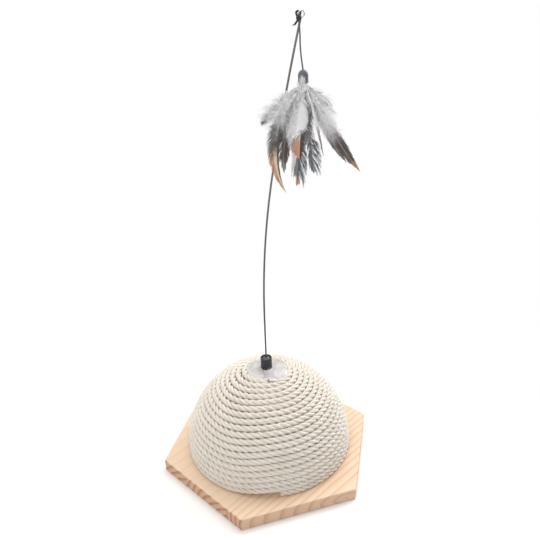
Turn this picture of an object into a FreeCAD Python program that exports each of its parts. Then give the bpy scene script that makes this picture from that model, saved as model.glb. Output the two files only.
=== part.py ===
import FreeCAD
import Part
import os
from math import acos, asin, atan2, ceil, cos, degrees, hypot, pi, radians, sin, sqrt, tan

# Cat scratcher: a hexagonal pine board, a rope-wound dome, and a feather teaser on a springy wire.
# Millimetres, +Z up. The origin is the centre of the board's underside, with two corners on the X axis.

V = FreeCAD.Vector
UP = V(0, 0, 1)

# Clearances between pieces that fit together
slip_fit = 0.05
loose_fit = 0.15
soft_gap = 0.3

# Board
across_flats = 180.0
board_thickness = 12.0
board_corner_round = 2.5
board_edge_round = 1.2

# Dome former: a moulded half ball on a short upright skirt, screwed down through the board
former_radius = 73.5
former_skirt = 2.4
former_wall = 2.5
boss_count = 3
boss_circle_radius = 56.0
boss_diameter = 9.0
boss_height = 17.0
boss_rib_thickness = 2.2

# Screws that hold the former to the board
board_screw_diameter = 3.5
board_screw_length = 26.0
board_screw_head_diameter = 7.0
board_screw_head_height = 2.2
board_screw_head_rim = 0.3
board_screw_recess = 0.4

# Rope: level turns that each climb one spacing over the same length of rope, and end at the same place.
# The last turn stops short of that place, and the pad gives way to it.
rope_diameter = 4.9
rope_spacing = 5.4
rope_climb_end = -96.0
rope_climb_length = 56.0
rope_climb_step = 32.0
rope_tail_share = 0.95
crown_opening_radius = 21.9
rope_bed = 0.25

# Plush pad on the crown, inside the last turn of rope
pad_thickness = 6.4
pad_edge_thickness = 4.2
pad_edge_bulge = 0.9
pad_notch_angle = 20.0

# Socket cup that carries the wire, with its screw from inside the dome
cup_diameter = 10.4
cup_wall = 0.8
cup_height = 16.4
cup_floor = 5.4
cup_lip_round = 0.3
cup_screw_diameter = 3.0
cup_screw_length = 7.0
cup_screw_head_diameter = 5.6
cup_screw_head_height = 2.0
washer_diameter = 9.0
washer_thickness = 0.8

# Rubber plug in the cup, with the ball that stops the wire from pulling out
plug_shoulder_below_rim = 2.6
plug_crown_above_rim = 0.8
stop_ball_diameter = 3.4
stop_ball_below_rim = 2.0
wire_end_below_ball = 4.5
collar_diameter = 2.8
collar_height = 1.8

# Teaser wire: spring steel in a plastic sleeve, upright at first and then bowed toward one corner
wire_core_diameter = 1.0
wire_sleeve_diameter = 1.6
wire_bow_direction = -60.0
wire_length = 287.33
wire_straight_share = 0.14443
wire_lower_bow_share = 0.46196
wire_lower_bow_angle = 13.0
wire_upper_bow_angle = 4.5
eye_radius = 2.0
eye_neck_radius = 1.5
eye_open_angle = 40.0

# Teaser cord: a loop through the eye, a knot, the hanging cord and a stop knot inside the feather cap.
# Its frame has its origin at the eye's centre, X to the right and Y to the back of the bunch.
teaser_turn = -16.0
cord_diameter = 1.0
loop_radius = 1.5
loop_lean = 48.0
loop_leg_splay = 14.0
loop_leg_length = 3.6
knot_radius = 1.35
knot_wrap_radius = 1.0
tail_length = 4.2
tail_direction = V(-0.55, -0.15, -1.0)
cord_route = [
    V(-1.9, -2.3, -4.3),
    V(-1.2, -2.5, -11.5),
    V(-1.25, -2.3, -19.0),
    V(-0.5, -1.9, -27.0),
    V(0.75, -1.7, -35.2),
]
stop_knot_radius = 1.7

# Feather cap and the plug of glue that holds the quills in it
cap_diameter = 7.2
cap_wall = 0.7
cap_height = 8.6
cap_cord_hole = 1.7
glue_height = 3.6
quill_width = 0.62
quill_show = 1.0
vane_thickness = 0.55
vane_camber = 0.10
vane_taper = 1.15
roll_done_at = 0.3

# Feathers: direction round the bunch, splay at the quill and at the tip, roll about the quill, then shares
# of the greatest length, width and quill circle radius. Directions run from the right towards the back.
feather_length = 81.0
feather_width = 13.0
quill_circle_radius = 2.3
feathers = {
    "feather_left_fluff": (184, 56, 38, 74, 0.4691, 1, 1),
    "feather_left_long": (206, 50, -30, 52, 1, 0.7692, 1),
    "feather_left_dark": (214, 36, -4, 36, 0.7654, 0.8462, 0.4348),
    "feather_front_white": (256, 26, 8, 6, 0.6173, 1, 1),
    "feather_front_thin": (244, 16, 24, 24, 0.7654, 0.3077, 0.8261),
    "feather_middle_long": (196, 3, 6, 40, 0.8642, 0.6923, 0.2174),
    "feather_middle_short": (326, 6, 5, -14, 0.7407, 0.6154, 0.3913),
    "feather_right_spike": (304, 29, 18, -25, 0.6049, 0.2308, 0.9565),
    "feather_right_long": (338, 27, 41, -55, 0.8642, 0.8462, 1),
    "feather_right_second": (4, 22, 35, -62, 0.7778, 0.6923, 0.6957),
    "feather_right_fluff": (14, 58, 36, -60, 0.3457, 0.8462, 1),
    "feather_back_right": (40, 44, 34, 35, 0.679, 0.6923, 1),
    "feather_back": (95, 18, 8, 0, 0.6914, 0.6923, 0.7826),
}
vane_stations = [0.0, 0.12, 0.3, 0.5, 0.7, 0.88, 1.0]


# Heights and places worked out from the sizes above
dome_centre_z = board_thickness + former_skirt
cup_radius = cup_diameter / 2
seat_radius = cup_radius + loose_fit
cup_seat_z = dome_centre_z + sqrt(former_radius**2 - seat_radius**2)
cup_rim_z = cup_seat_z + cup_height
cup_bore_radius = cup_radius - cup_wall
pivot = V(0, 0, cup_rim_z - stop_ball_below_rim)
rope_radius = rope_diameter / 2
rope_centre_radius = former_radius + rope_bed + rope_radius
rope_first_height = rope_radius + rope_bed
sleeve_radius = wire_sleeve_diameter / 2
core_radius = wire_core_diameter / 2
sleeve_bore_radius = core_radius + slip_fit
cord_radius = cord_diameter / 2


def polar(radius, angle, z=0.0):
    """A point at an angle, in degrees, round the Z axis."""
    return V(radius * cos(radians(angle)), radius * sin(radians(angle)), z)


def face_of(edges):
    return Part.Face(Part.Wire(edges))


def line(a, b):
    return Part.LineSegment(a, b).toShape()


def arc(a, middle, b):
    return Part.Arc(a, middle, b).toShape()


def outline(points):
    """A closed face of straight lines."""
    return Part.Face(Part.makePolygon(points + points[:1]))


def revolved(points):
    """A solid of revolution about Z from (radius, height) corners."""
    return outline([V(r, 0, z) for r, z in points]).revolve(V(0, 0, 0), UP, 360)


def tube(edges, radius):
    """A round solid bar along a path of lines and arcs."""
    path = Part.Wire(edges)
    start = edges[0].valueAt(edges[0].FirstParameter)
    heading = edges[0].tangentAt(edges[0].FirstParameter)
    section = Part.Wire(Part.makeCircle(radius, start, heading))
    return path.makePipeShell([section], True, False)


def arc_from_corner(a, corner, b):
    """The arc that leaves a towards the corner and arrives at b from it."""
    half_turn = (corner - a).getAngle(b - corner) / 2
    weight = cos(half_turn)
    middle = ((a + b) * 0.5 + corner * weight) * (1 / (1 + weight))
    return arc(a, middle, b)


def biarc(a, heading_a, b, heading_b):
    """Two arcs that join two points with given headings."""
    span = b - a
    turn = 1 - heading_a.dot(heading_b)
    along = span.dot(heading_a + heading_b)
    reach = (sqrt(along**2 + 2 * turn * span.dot(span)) - along) / (2 * turn)
    corner_a = a + heading_a * reach
    corner_b = b - heading_b * reach
    join = (corner_a + corner_b) * 0.5
    return [arc_from_corner(a, corner_a, join), arc_from_corner(join, corner_b, b)]


def fused(shapes):
    return shapes[0].multiFuse(shapes[1:]).removeSplitter()


boss_angles = [90 + 360 * i / boss_count for i in range(boss_count)]


def board_screw(grow, foot):
    """A countersunk screw whose head starts at the height foot; grow makes its hole instead."""
    head = board_screw_head_diameter / 2 + grow
    shank = board_screw_diameter / 2 + grow
    tip = board_screw_recess + board_screw_length + grow
    return revolved([
        (0, foot),
        (head, foot),
        (head, board_screw_recess + board_screw_head_rim),
        (shank, board_screw_recess + board_screw_head_height),
        (shank, tip - shank),
        (0, tip),
    ])


def board_screws():
    screw = board_screw(0, board_screw_recess)
    return Part.makeCompound([screw.translated(polar(boss_circle_radius, angle)) for angle in boss_angles])


def board_screw_holes():
    hole = board_screw(slip_fit, 0)
    return [hole.translated(polar(boss_circle_radius, angle)) for angle in boss_angles]


def base_board():
    corner_radius = across_flats / 2 / cos(radians(30))
    blank = outline([polar(corner_radius, 60 * i) for i in range(6)]).extrude(UP * board_thickness)
    uprights = [e for e in blank.Edges if abs(e.tangentAt(e.FirstParameter).z) > 0.5]
    blank = blank.makeFillet(board_corner_round, uprights)
    rims = [e for e in blank.Edges if abs(e.tangentAt(e.FirstParameter).z) < 0.5]
    return blank.makeFillet(board_edge_round, rims).cut(board_screw_holes())


def half_ball(radius, base_z):
    """A half ball on an upright skirt that starts at base_z."""
    skirt = Part.makeCylinder(radius, dome_centre_z - base_z, V(0, 0, base_z))
    ball = Part.makeSphere(radius, V(0, 0, dome_centre_z), UP, 0, 90, 360)
    return fused([skirt, ball])


def dome_former():
    body = half_ball(former_radius, board_thickness)
    shell = body.cut(half_ball(former_radius - former_wall, board_thickness))
    posts = []
    for angle in boss_angles:
        foot = polar(boss_circle_radius, angle, board_thickness)
        boss = Part.makeCylinder(boss_diameter / 2, boss_height, foot)
        rib = Part.makeBox(former_radius, boss_rib_thickness, boss_height)
        rib.translate(V(boss_circle_radius, -boss_rib_thickness / 2, board_thickness))
        rib.rotate(V(0, 0, 0), UP, angle)
        posts.append(fused([boss, rib]).common(body))
    spot_face = Part.makeCylinder(seat_radius, cup_height, V(0, 0, cup_seat_z))
    hole_radius = cup_screw_diameter / 2 + loose_fit
    screw_hole = Part.makeCylinder(hole_radius, former_radius, V(0, 0, dome_centre_z))
    return fused([shell] + posts).cut([spot_face, screw_hole] + board_screw_holes())


def rope_place(climb):
    """Radius and height of the rope's centre after climbing this far up the dome."""
    if climb <= former_skirt:
        return rope_centre_radius, board_thickness + climb
    rise = (climb - former_skirt) / rope_centre_radius
    return rope_centre_radius * cos(rise), dome_centre_z + rope_centre_radius * sin(rise)


def rope_point(climb, angle):
    radius, z = rope_place(climb)
    return polar(radius, angle, z)


def rope_heading(angle):
    return polar(1, angle + 90)


def climb_sweep(climb):
    """The angle in which a turn climbs, which grows as the turns get smaller."""
    return degrees(rope_climb_length / rope_place(climb)[0])


def climb_angle(climb, share):
    return rope_climb_end - climb_sweep(climb) * (1 - share)


def climb_point(climb, share):
    """A point on the eased climb from this turn to the next."""
    eased = share * share * (3 - 2 * share)
    return rope_point(climb + rope_spacing * eased, climb_angle(climb, share))


def climb_heading(climb, share):
    nudge = 0.001
    return (climb_point(climb, share + nudge) - climb_point(climb, share - nudge)).normalize()


def rope_climb(climb, last_share):
    """The part of a turn that climbs towards the next, as pairs of arcs."""
    steps = ceil(climb_sweep(climb) * last_share / rope_climb_step)
    shares = [last_share * i / steps for i in range(steps + 1)]
    edges = []
    for a, b in zip(shares, shares[1:]):
        start, finish = climb_point(climb, a), climb_point(climb, b)
        edges += biarc(start, climb_heading(climb, a), finish, climb_heading(climb, b))
    return edges


def level_turn(climb, angle, sweep):
    stops = [rope_point(climb, angle + sweep * share) for share in (0, 0.5, 1)]
    return arc(*stops)


crown_climb = former_skirt + rope_centre_radius * acos(crown_opening_radius / rope_centre_radius)
rope_turns = 1 + round((crown_climb - rope_first_height) / rope_spacing)
rope_last_climb = rope_first_height + rope_spacing * (rope_turns - 1)


def rope_edges():
    begin = rope_climb_end
    first = rope_point(rope_first_height, begin)
    edges = [line(first - rope_heading(begin) * rope_diameter, first)]
    for turn in range(rope_turns):
        climb = rope_first_height + rope_spacing * turn
        edges.append(level_turn(climb, begin, 360 - climb_sweep(climb)))
        edges += rope_climb(climb, 1 if turn < rope_turns - 1 else rope_tail_share)
    return edges


def least_gap(edges, diameter):
    """Least clear distance between one turn and the next, on points a millimetre apart."""
    points = [p for e in edges for p in e.discretize(max(2, int(e.Length)))]
    sectors = {}
    for i, p in enumerate(points):
        sectors.setdefault(round(degrees(atan2(p.y, p.x))), []).append(i)
    apart = 4 * diameter
    nearest = former_radius
    for sector, members in sectors.items():
        others = [k for step in range(-3, 4) for k in sectors.get(sector + step, [])]
        for i in members:
            for k in others:
                if abs(k - i) > apart:
                    nearest = min(nearest, points[i].distanceToPoint(points[k]))
    return nearest - diameter


def rope_winding():
    edges = rope_edges()
    winding = tube(edges, rope_radius)
    length = sum(e.Length for e in edges)
    print("rope length mm", round(length), "turns", rope_turns)
    print("rope least gap mm", round(least_gap(edges, rope_diameter), 3))
    print("rope volume over section times length", round(winding.Volume / (pi * rope_radius**2 * length), 4))
    return winding


pad_radius = rope_place(rope_last_climb)[0] - rope_radius - soft_gap


def former_top(radius):
    """Height of the former's outside at a radius from the axis."""
    return dome_centre_z + sqrt(former_radius**2 - radius**2)


def rope_end_clearance():
    """What the rope's end takes from the pad's edge: a spiral cut, and a notch past the end."""
    start_share = 0.12
    stops = [start_share + (rope_tail_share - start_share) * i / 8 for i in range(9)]
    edge = []
    for share in stops:
        place = climb_point(rope_last_climb, share)
        reach = hypot(place.x, place.y) - rope_radius - soft_gap
        edge.append(polar(reach, climb_angle(rope_last_climb, share)))
    start_angle = climb_angle(rope_last_climb, start_share)
    end_angle = climb_angle(rope_last_climb, rope_tail_share)
    outside = pad_radius * 1.5
    outer = [polar(outside, angle) for angle in (end_angle, (start_angle + end_angle) / 2, start_angle)]
    notch = polar(pad_radius * 1.02, end_angle + pad_notch_angle)
    spiral = Part.BSplineCurve()
    spiral.interpolate(edge)
    corner = polar(outside, end_angle + pad_notch_angle)
    plan = face_of([
        spiral.toShape(),
        line(edge[-1], notch),
        line(notch, corner),
        line(corner, outer[0]),
        arc(*outer),
        line(outer[2], edge[0]),
    ])
    return plan.translated(UP * dome_centre_z).extrude(UP * (former_radius + pad_thickness * 2))


def crown_pad():
    inner = cup_radius + loose_fit
    rim = pad_radius - pad_edge_bulge
    middle = (inner + rim) / 2
    under_inner = V(inner, 0, former_top(inner) + loose_fit)
    under_middle = V(middle, 0, former_top(middle) + loose_fit)
    under_rim = V(rim, 0, former_top(rim) + loose_fit)
    edge_middle = V(pad_radius, 0, former_top(pad_radius) + pad_edge_thickness / 2)
    top_rim = V(rim, 0, former_top(rim) + pad_edge_thickness)
    middle_thickness = (pad_thickness + pad_edge_thickness + pad_edge_bulge) / 2
    top_middle = V(middle, 0, former_top(middle) + middle_thickness)
    top_inner = V(inner, 0, former_top(inner) + pad_thickness)
    profile = face_of([
        arc(under_inner, under_middle, under_rim),
        arc(under_rim, edge_middle, top_rim),
        arc(top_rim, top_middle, top_inner),
        line(top_inner, under_inner),
    ])
    return profile.revolve(V(0, 0, 0), UP, 360).cut(rope_end_clearance())


def socket_cup():
    cup = Part.makeCylinder(cup_radius, cup_height, V(0, 0, cup_seat_z))
    bore = Part.makeCylinder(cup_bore_radius, cup_height, V(0, 0, cup_seat_z + cup_floor))
    cup = cup.cut(bore)
    lip = [e for e in cup.Edges if abs(e.BoundBox.ZMin - cup_rim_z) < slip_fit]
    cup = cup.makeFillet(cup_lip_round, lip)
    reach = cup_screw_length - former_wall - washer_thickness + slip_fit
    pilot = Part.makeCylinder(cup_screw_diameter / 2 + slip_fit, reach, V(0, 0, cup_seat_z))
    return cup.cut(pilot)


crown_inside_z = dome_centre_z + sqrt((former_radius - former_wall) ** 2 - (washer_diameter / 2) ** 2)
washer_top_z = crown_inside_z
washer_under_z = washer_top_z - washer_thickness


def socket_washer():
    disc = Part.makeCylinder(washer_diameter / 2, washer_thickness, V(0, 0, washer_under_z))
    hole = Part.makeCylinder(cup_screw_diameter / 2 + loose_fit, washer_thickness, V(0, 0, washer_under_z))
    return disc.cut(hole)


def socket_screw():
    head = cup_screw_head_diameter / 2
    shank = cup_screw_diameter / 2
    tip = cup_seat_z + cup_screw_length - former_wall - washer_thickness
    return revolved([
        (0, washer_under_z - cup_screw_head_height),
        (head * 0.7, washer_under_z - cup_screw_head_height),
        (head, washer_under_z - cup_screw_head_height / 2),
        (head, washer_under_z),
        (shank, washer_under_z),
        (shank, tip - shank / 2),
        (shank / 2, tip),
        (0, tip),
    ])


def wire_hole(radius, below, above):
    """A straight round bar along the wire's upright foot."""
    return Part.makeCylinder(radius, above + below, pivot - UP * below)


def wire_plug():
    radius = cup_bore_radius - slip_fit
    floor_z = cup_seat_z + cup_floor
    shoulder_z = cup_rim_z - plug_shoulder_below_rim
    crown_z = cup_rim_z + plug_crown_above_rim
    rise = crown_z - shoulder_z
    crown_radius = (radius**2 + rise**2) / (2 * rise)
    half_spread = asin(radius / crown_radius) / 2
    bulge = V(crown_radius * sin(half_spread), 0, crown_z - crown_radius * (1 - cos(half_spread)))
    profile = face_of([
        line(V(0, 0, floor_z), V(radius, 0, floor_z)),
        line(V(radius, 0, floor_z), V(radius, 0, shoulder_z)),
        arc(V(radius, 0, shoulder_z), bulge, V(0, 0, crown_z)),
        line(V(0, 0, crown_z), V(0, 0, floor_z)),
    ])
    plug = profile.revolve(V(0, 0, 0), UP, 360)
    ball_pocket = Part.makeSphere(stop_ball_diameter / 2 + slip_fit, pivot)
    bore = wire_hole(sleeve_radius + slip_fit, wire_end_below_ball + slip_fit, cup_height)
    return plug.cut([ball_pocket, bore])


def wire_stop_ball():
    ball = Part.makeSphere(stop_ball_diameter / 2, pivot)
    return ball.cut(wire_hole(sleeve_radius + slip_fit, stop_ball_diameter, stop_ball_diameter))


def wire_collar():
    foot_z = cup_rim_z + plug_crown_above_rim + slip_fit
    collar = Part.makeCylinder(collar_diameter / 2, collar_height, V(0, 0, foot_z))
    collar = collar.makeFillet(collar_height / 4, [e for e in collar.Edges if e.BoundBox.ZLength < slip_fit])
    return collar.cut(wire_hole(sleeve_radius + slip_fit, 0, cup_height))


bow_out = polar(1, wire_bow_direction)


def bow_heading(angle):
    return bow_out * sin(radians(angle)) + UP * cos(radians(angle))


def bow_arc(start, radius, angle_a, angle_b):
    """An arc in the bow's plane, from one lean to another."""
    def at(angle):
        out = cos(radians(angle_a)) - cos(radians(angle))
        up = sin(radians(angle)) - sin(radians(angle_a))
        return start + (bow_out * out + UP * up) * radius
    return arc(start, at((angle_a + angle_b) / 2), at(angle_b)), at(angle_b)


wire_straight_rise = wire_length * wire_straight_share
wire_upper_bow_share = 1 - wire_straight_share - wire_lower_bow_share
wire_lower_bow_radius = wire_length * wire_lower_bow_share / radians(wire_lower_bow_angle)
wire_upper_bow_radius = wire_length * wire_upper_bow_share / radians(wire_upper_bow_angle)
wire_top_lean = wire_lower_bow_angle + wire_upper_bow_angle
wire_foot = pivot - UP * wire_end_below_ball
bow_start = V(0, 0, cup_rim_z + wire_straight_rise)
lower_bow, bow_middle = bow_arc(bow_start, wire_lower_bow_radius, 0, wire_lower_bow_angle)
upper_bow, wire_top = bow_arc(bow_middle, wire_upper_bow_radius, wire_lower_bow_angle, wire_top_lean)
wire_stem = [line(wire_foot, bow_start), lower_bow, upper_bow]

# The eye's own directions: up along the wire, across, and through the eye
eye_up = bow_heading(wire_top_lean)
facing = polar(1, teaser_turn + 90)
eye_through = (facing - eye_up * facing.dot(eye_up)).normalize()
eye_across = eye_through.cross(eye_up)
eye_rise = sqrt(eye_radius**2 + 2 * eye_radius * eye_neck_radius)
eye_centre = wire_top + eye_up * eye_rise


def eye_edges():
    """The neck bends to the right, and the eye then runs round to the left of the neck."""
    def in_eye(centre_across, centre_up, radius, angle):
        across = centre_across + radius * cos(radians(angle))
        along = centre_up + radius * sin(radians(angle))
        return wire_top + eye_across * across + eye_up * along
    neck_turn = degrees(asin(eye_rise / (eye_radius + eye_neck_radius)))
    neck = [in_eye(eye_neck_radius, 0, eye_neck_radius, 180 - neck_turn * share) for share in (0, 0.5, 1)]
    sweep_start = -neck_turn
    sweep_end = 270 - eye_open_angle / 2
    middle = (sweep_start + sweep_end) / 2
    quarters = [in_eye(0, eye_rise, eye_radius, a) for a in (
        sweep_start, (sweep_start + middle) / 2, middle, (middle + sweep_end) / 2, sweep_end)]
    neck[2] = quarters[0]
    return [arc(*neck), arc(*quarters[:3]), arc(*quarters[2:])]


def wire_core():
    return tube(wire_stem + eye_edges(), core_radius)


def wire_sleeve():
    return tube(wire_stem, sleeve_radius).cut(tube(wire_stem, sleeve_bore_radius))


teaser_right = polar(1, teaser_turn)
teaser_back = polar(1, teaser_turn + 90)


def teaser(p):
    """From the teaser's frame at the eye to the part's frame."""
    return eye_centre + teaser_right * p.x + teaser_back * p.y + UP * p.z


loop_hook = V(-eye_radius, 0, 0)
loop_axis = V(0, cos(radians(loop_lean)), sin(radians(loop_lean)))
loop_arc_ahead = loop_radius / 3


def loop_place(across, ahead):
    """A place in the loop's leaning plane, measured from where it passes round the eye."""
    return loop_hook + V(across, 0, 0) + loop_axis * ahead


splay_across = cos(radians(loop_leg_splay))
splay_ahead = sin(radians(loop_leg_splay))
loop_leg_top = loop_arc_ahead - loop_radius * splay_ahead
loop_leg_foot = loop_leg_top - loop_leg_length * splay_across
knot_centre = loop_place(0, loop_leg_foot)


def cord_loop():
    def leg_top(side):
        return teaser(loop_place(side * loop_radius * splay_across, loop_leg_top))

    def leg_end(side):
        across = loop_radius * splay_across - loop_leg_length * splay_ahead
        return teaser(loop_place(side * across, loop_leg_foot))

    bend = loop_place(0, loop_arc_ahead + loop_radius)
    path = [
        line(leg_end(-1), leg_top(-1)),
        arc(leg_top(-1), teaser(bend), leg_top(1)),
        line(leg_top(1), leg_end(1)),
    ]
    centre = teaser(knot_centre)
    knot = Part.makeSphere(knot_radius, centre)
    wraps = [
        Part.makeTorus(knot_wrap_radius, cord_radius, centre, teaser_right * 0.5 + UP),
        Part.makeTorus(knot_wrap_radius, cord_radius, centre, teaser_back - teaser_right * 0.7 + UP * 0.3),
    ]
    tail_out = teaser(knot_centre + tail_direction) - centre
    tail = Part.makeCylinder(cord_radius, knot_radius + tail_length, centre, tail_out)
    return fused([tube(path, cord_radius), knot] + wraps + [tail])


def rounded_route(points, share=0.45):
    """Straight runs joined by tangent arcs, each as large as its two runs allow; also the radii."""
    edges = []
    radii = []
    last = points[0]
    for before, corner, after in zip(points, points[1:], points[2:]):
        trim = share * min((corner - before).Length, (after - corner).Length)
        a = corner + (before - corner).normalize() * trim
        b = corner + (after - corner).normalize() * trim
        radii.append(trim / tan((corner - before).getAngle(after - corner) / 2))
        edges += [line(last, a), arc_from_corner(a, corner, b)]
        last = b
    edges.append(line(last, points[-1]))
    return edges, radii


def cord():
    edges, radii = rounded_route([teaser(p) for p in cord_route])
    hanging = tube(edges, cord_radius)
    length = sum(e.Length for e in edges)
    print("cord length mm", round(length, 1), "radii mm", [round(r) for r in radii])
    print("cord volume over section times length", round(hanging.Volume / (pi * cord_radius**2 * length), 4))
    return hanging


cord_end = teaser(cord_route[-1])
stop_knot_centre = cord_end - UP * (stop_knot_radius + slip_fit)
cap_radius = cap_diameter / 2
cap_inner_radius = cap_radius - cap_wall
cap_ceiling_z = cord_end.z + slip_fit
cap_mouth = V(cord_end.x, cord_end.y, cap_ceiling_z + cap_wall - cap_height)


def cord_stop_knot():
    return Part.makeSphere(stop_knot_radius, stop_knot_centre)


def feather_cap():
    """A domed ferrule, open below, with a hole for the cord in its crown."""
    hole = cap_cord_hole / 2
    top = cap_height
    ceiling = cap_height - cap_wall
    spring = cap_height - cap_radius
    round_out = cos(radians(45))
    profile = face_of([
        line(V(hole, 0, ceiling), V(hole, 0, top)),
        arc(V(hole, 0, top),
            V(cap_radius * round_out, 0, spring + cap_radius * round_out),
            V(cap_radius, 0, spring)),
        line(V(cap_radius, 0, spring), V(cap_radius, 0, 0)),
        line(V(cap_radius, 0, 0), V(cap_inner_radius, 0, 0)),
        line(V(cap_inner_radius, 0, 0), V(cap_inner_radius, 0, spring)),
        arc(V(cap_inner_radius, 0, spring),
            V(cap_inner_radius * round_out, 0, spring + cap_inner_radius * round_out),
            V(hole, 0, ceiling)),
    ])
    return profile.revolve(V(0, 0, 0), UP, 360).translated(cap_mouth)


def quill_place(name):
    direction, circle_share = feathers[name][0], feathers[name][-1]
    return cap_mouth + polar(quill_circle_radius * circle_share, direction + teaser_turn)


def quill_glue():
    glue = Part.makeCylinder(cap_inner_radius - slip_fit, glue_height, cap_mouth)
    reach = quill_width / 2 + slip_fit
    slots = []
    for name in feathers:
        side = polar(reach, feathers[name][0] + teaser_turn + 90)
        out = polar(reach, feathers[name][0] + teaser_turn)
        place = quill_place(name)
        mouth = outline([place + side, place + out, place - side, place - out])
        slots.append(mouth.extrude(UP * glue_height))
    return glue.cut(slots)


def vane_width(width, share):
    """Width along a feather: narrow at the quill, widest past the middle, pointed at the tip."""
    return quill_width + (width - quill_width) * sin(pi * share**vane_taper)


def feather(name):
    direction, splay, end_splay, roll, length_share, width_share, _ = feathers[name]
    length = feather_length * length_share
    width = feather_width * width_share
    out = polar(1, direction + teaser_turn)
    side = polar(1, direction + teaser_turn + 90)
    root = quill_place(name)
    turn = radians(end_splay - splay)

    def section(share):
        lean = radians(splay) + turn * share
        away = length / turn * (cos(radians(splay)) - cos(lean))
        down = length / turn * (sin(lean) - sin(radians(splay)))
        centre = root + out * away - UP * (down + quill_show)
        turned = radians(roll) * min(1, share / roll_done_at)
        flat = out * cos(lean) + UP * sin(lean)
        across = side * cos(turned) - flat * sin(turned)
        through = flat * cos(turned) + side * sin(turned)
        half_width = vane_width(width, share) / 2
        half_depth = (quill_width + (vane_thickness - quill_width) * share) / 2
        droop = through * (vane_camber * (half_width - quill_width / 2))
        return Part.makePolygon([
            centre + across * half_width - droop,
            centre + through * half_depth,
            centre - across * half_width - droop,
            centre - through * half_depth,
            centre + across * half_width - droop,
        ])

    def quill(height):
        centre = root + UP * height
        half = quill_width / 2
        corners = [side * half, out * half, side * -half, out * -half, side * half]
        return Part.makePolygon([centre + corner for corner in corners])

    sections = [quill(glue_height), quill(0)] + [section(share) for share in vane_stations]
    return Part.makeLoft(sections, True, True)


os.makedirs("parts", exist_ok=True)

nodes = {
    "base_board": base_board,
    "board_screws": board_screws,
    "dome_former": dome_former,
    "rope_winding": rope_winding,
    "crown_pad": crown_pad,
    "socket_cup": socket_cup,
    "socket_washer": socket_washer,
    "socket_screw": socket_screw,
    "wire_plug": wire_plug,
    "wire_stop_ball": wire_stop_ball,
    "wire_collar": wire_collar,
    "wire_core": wire_core,
    "wire_sleeve": wire_sleeve,
    "cord_loop": cord_loop,
    "cord": cord,
    "cord_stop_knot": cord_stop_knot,
    "feather_cap": feather_cap,
    "quill_glue": quill_glue,
}

for node, make in nodes.items():
    make().exportStep("parts/" + node + ".step")

for node in feathers:
    feather(node).exportStep("parts/" + node + ".step")

places = {"pivot": pivot, "eye": eye_centre, "knot": teaser(knot_centre), "cap": cap_mouth}
for label, place in places.items():
    print(label, [round(c, 3) for c in place])
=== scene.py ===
# %% [markdown]
# # A cat scratcher with a feather teaser
# A hexagonal pine board carries a dome wound with twisted rope. A springy wire stands in a black
# socket on the crown and dangles a bunch of feathers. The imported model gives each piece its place,
# and this lesson dresses it, in metres, in the same frame.

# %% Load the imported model
import math
import random

import bmesh
import bpy
import numpy as np
from mathutils import Matrix, Vector, noise


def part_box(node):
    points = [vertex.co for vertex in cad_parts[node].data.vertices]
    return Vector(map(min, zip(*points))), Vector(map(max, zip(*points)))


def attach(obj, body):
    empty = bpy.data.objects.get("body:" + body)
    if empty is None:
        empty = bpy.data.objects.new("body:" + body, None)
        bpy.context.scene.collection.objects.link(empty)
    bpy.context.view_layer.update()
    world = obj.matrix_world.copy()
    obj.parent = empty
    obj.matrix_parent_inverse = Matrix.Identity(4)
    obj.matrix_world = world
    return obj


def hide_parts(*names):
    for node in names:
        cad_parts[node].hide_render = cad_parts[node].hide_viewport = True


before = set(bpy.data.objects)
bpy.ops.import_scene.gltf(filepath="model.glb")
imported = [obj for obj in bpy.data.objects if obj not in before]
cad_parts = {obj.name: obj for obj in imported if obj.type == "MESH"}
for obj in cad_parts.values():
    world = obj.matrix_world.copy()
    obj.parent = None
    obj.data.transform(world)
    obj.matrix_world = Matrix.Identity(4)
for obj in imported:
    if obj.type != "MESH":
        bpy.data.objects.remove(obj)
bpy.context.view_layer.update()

MM = 0.001
scene = bpy.context.scene
scene.view_settings.view_transform = "Standard"

# %% [markdown]
# ## Camera
# The camera comes first, because every finish is judged through it. Its place was fitted to the
# corners of the board, so it is a plain lens with no shift, turned a little about its own axis.

# %% Camera
CAMERA_PLACE = Vector((-109.84, -402.87, 374.49)) * MM
CAMERA_ROLL = math.radians(-1.98)
FOCAL_LENGTH = 35.22
SENSOR_WIDTH = 36.0
NEAREST_SEEN = 0.01


def shown(name, data):
    """A new object, placed in the scene."""
    made = bpy.data.objects.new(name, data)
    scene.collection.objects.link(made)
    return made


view_forward = Vector((0.25462, 0.88041, -0.40006)).normalized()
level_right = Vector((0.96064, -0.27782, 0.0))
level_up = level_right.cross(view_forward)
camera_right = level_right * math.cos(CAMERA_ROLL) + level_up * math.sin(CAMERA_ROLL)
camera_up = camera_right.cross(view_forward)
camera_data = bpy.data.cameras.new("photo_camera")
camera_data.lens = FOCAL_LENGTH
camera_data.sensor_width = SENSOR_WIDTH
camera_data.clip_start = NEAREST_SEEN
camera = shown("photo_camera", camera_data)
camera_turn = Matrix((camera_right, camera_up, -view_forward)).transposed()
camera.matrix_world = Matrix.Translation(CAMERA_PLACE) @ camera_turn.to_4x4()
scene.camera = camera
print("camera at", [round(c, 4) for c in camera.location])

# %% [markdown]
# ## Helpers for node trees
# Shader trees and geometry trees are wired the same way, so one class places nodes in both. Long
# sums of math nodes are hard to read. A wire here can be added to, multiplied and so on, and each
# sign makes the math node that does it.

# %% Wires


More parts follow.
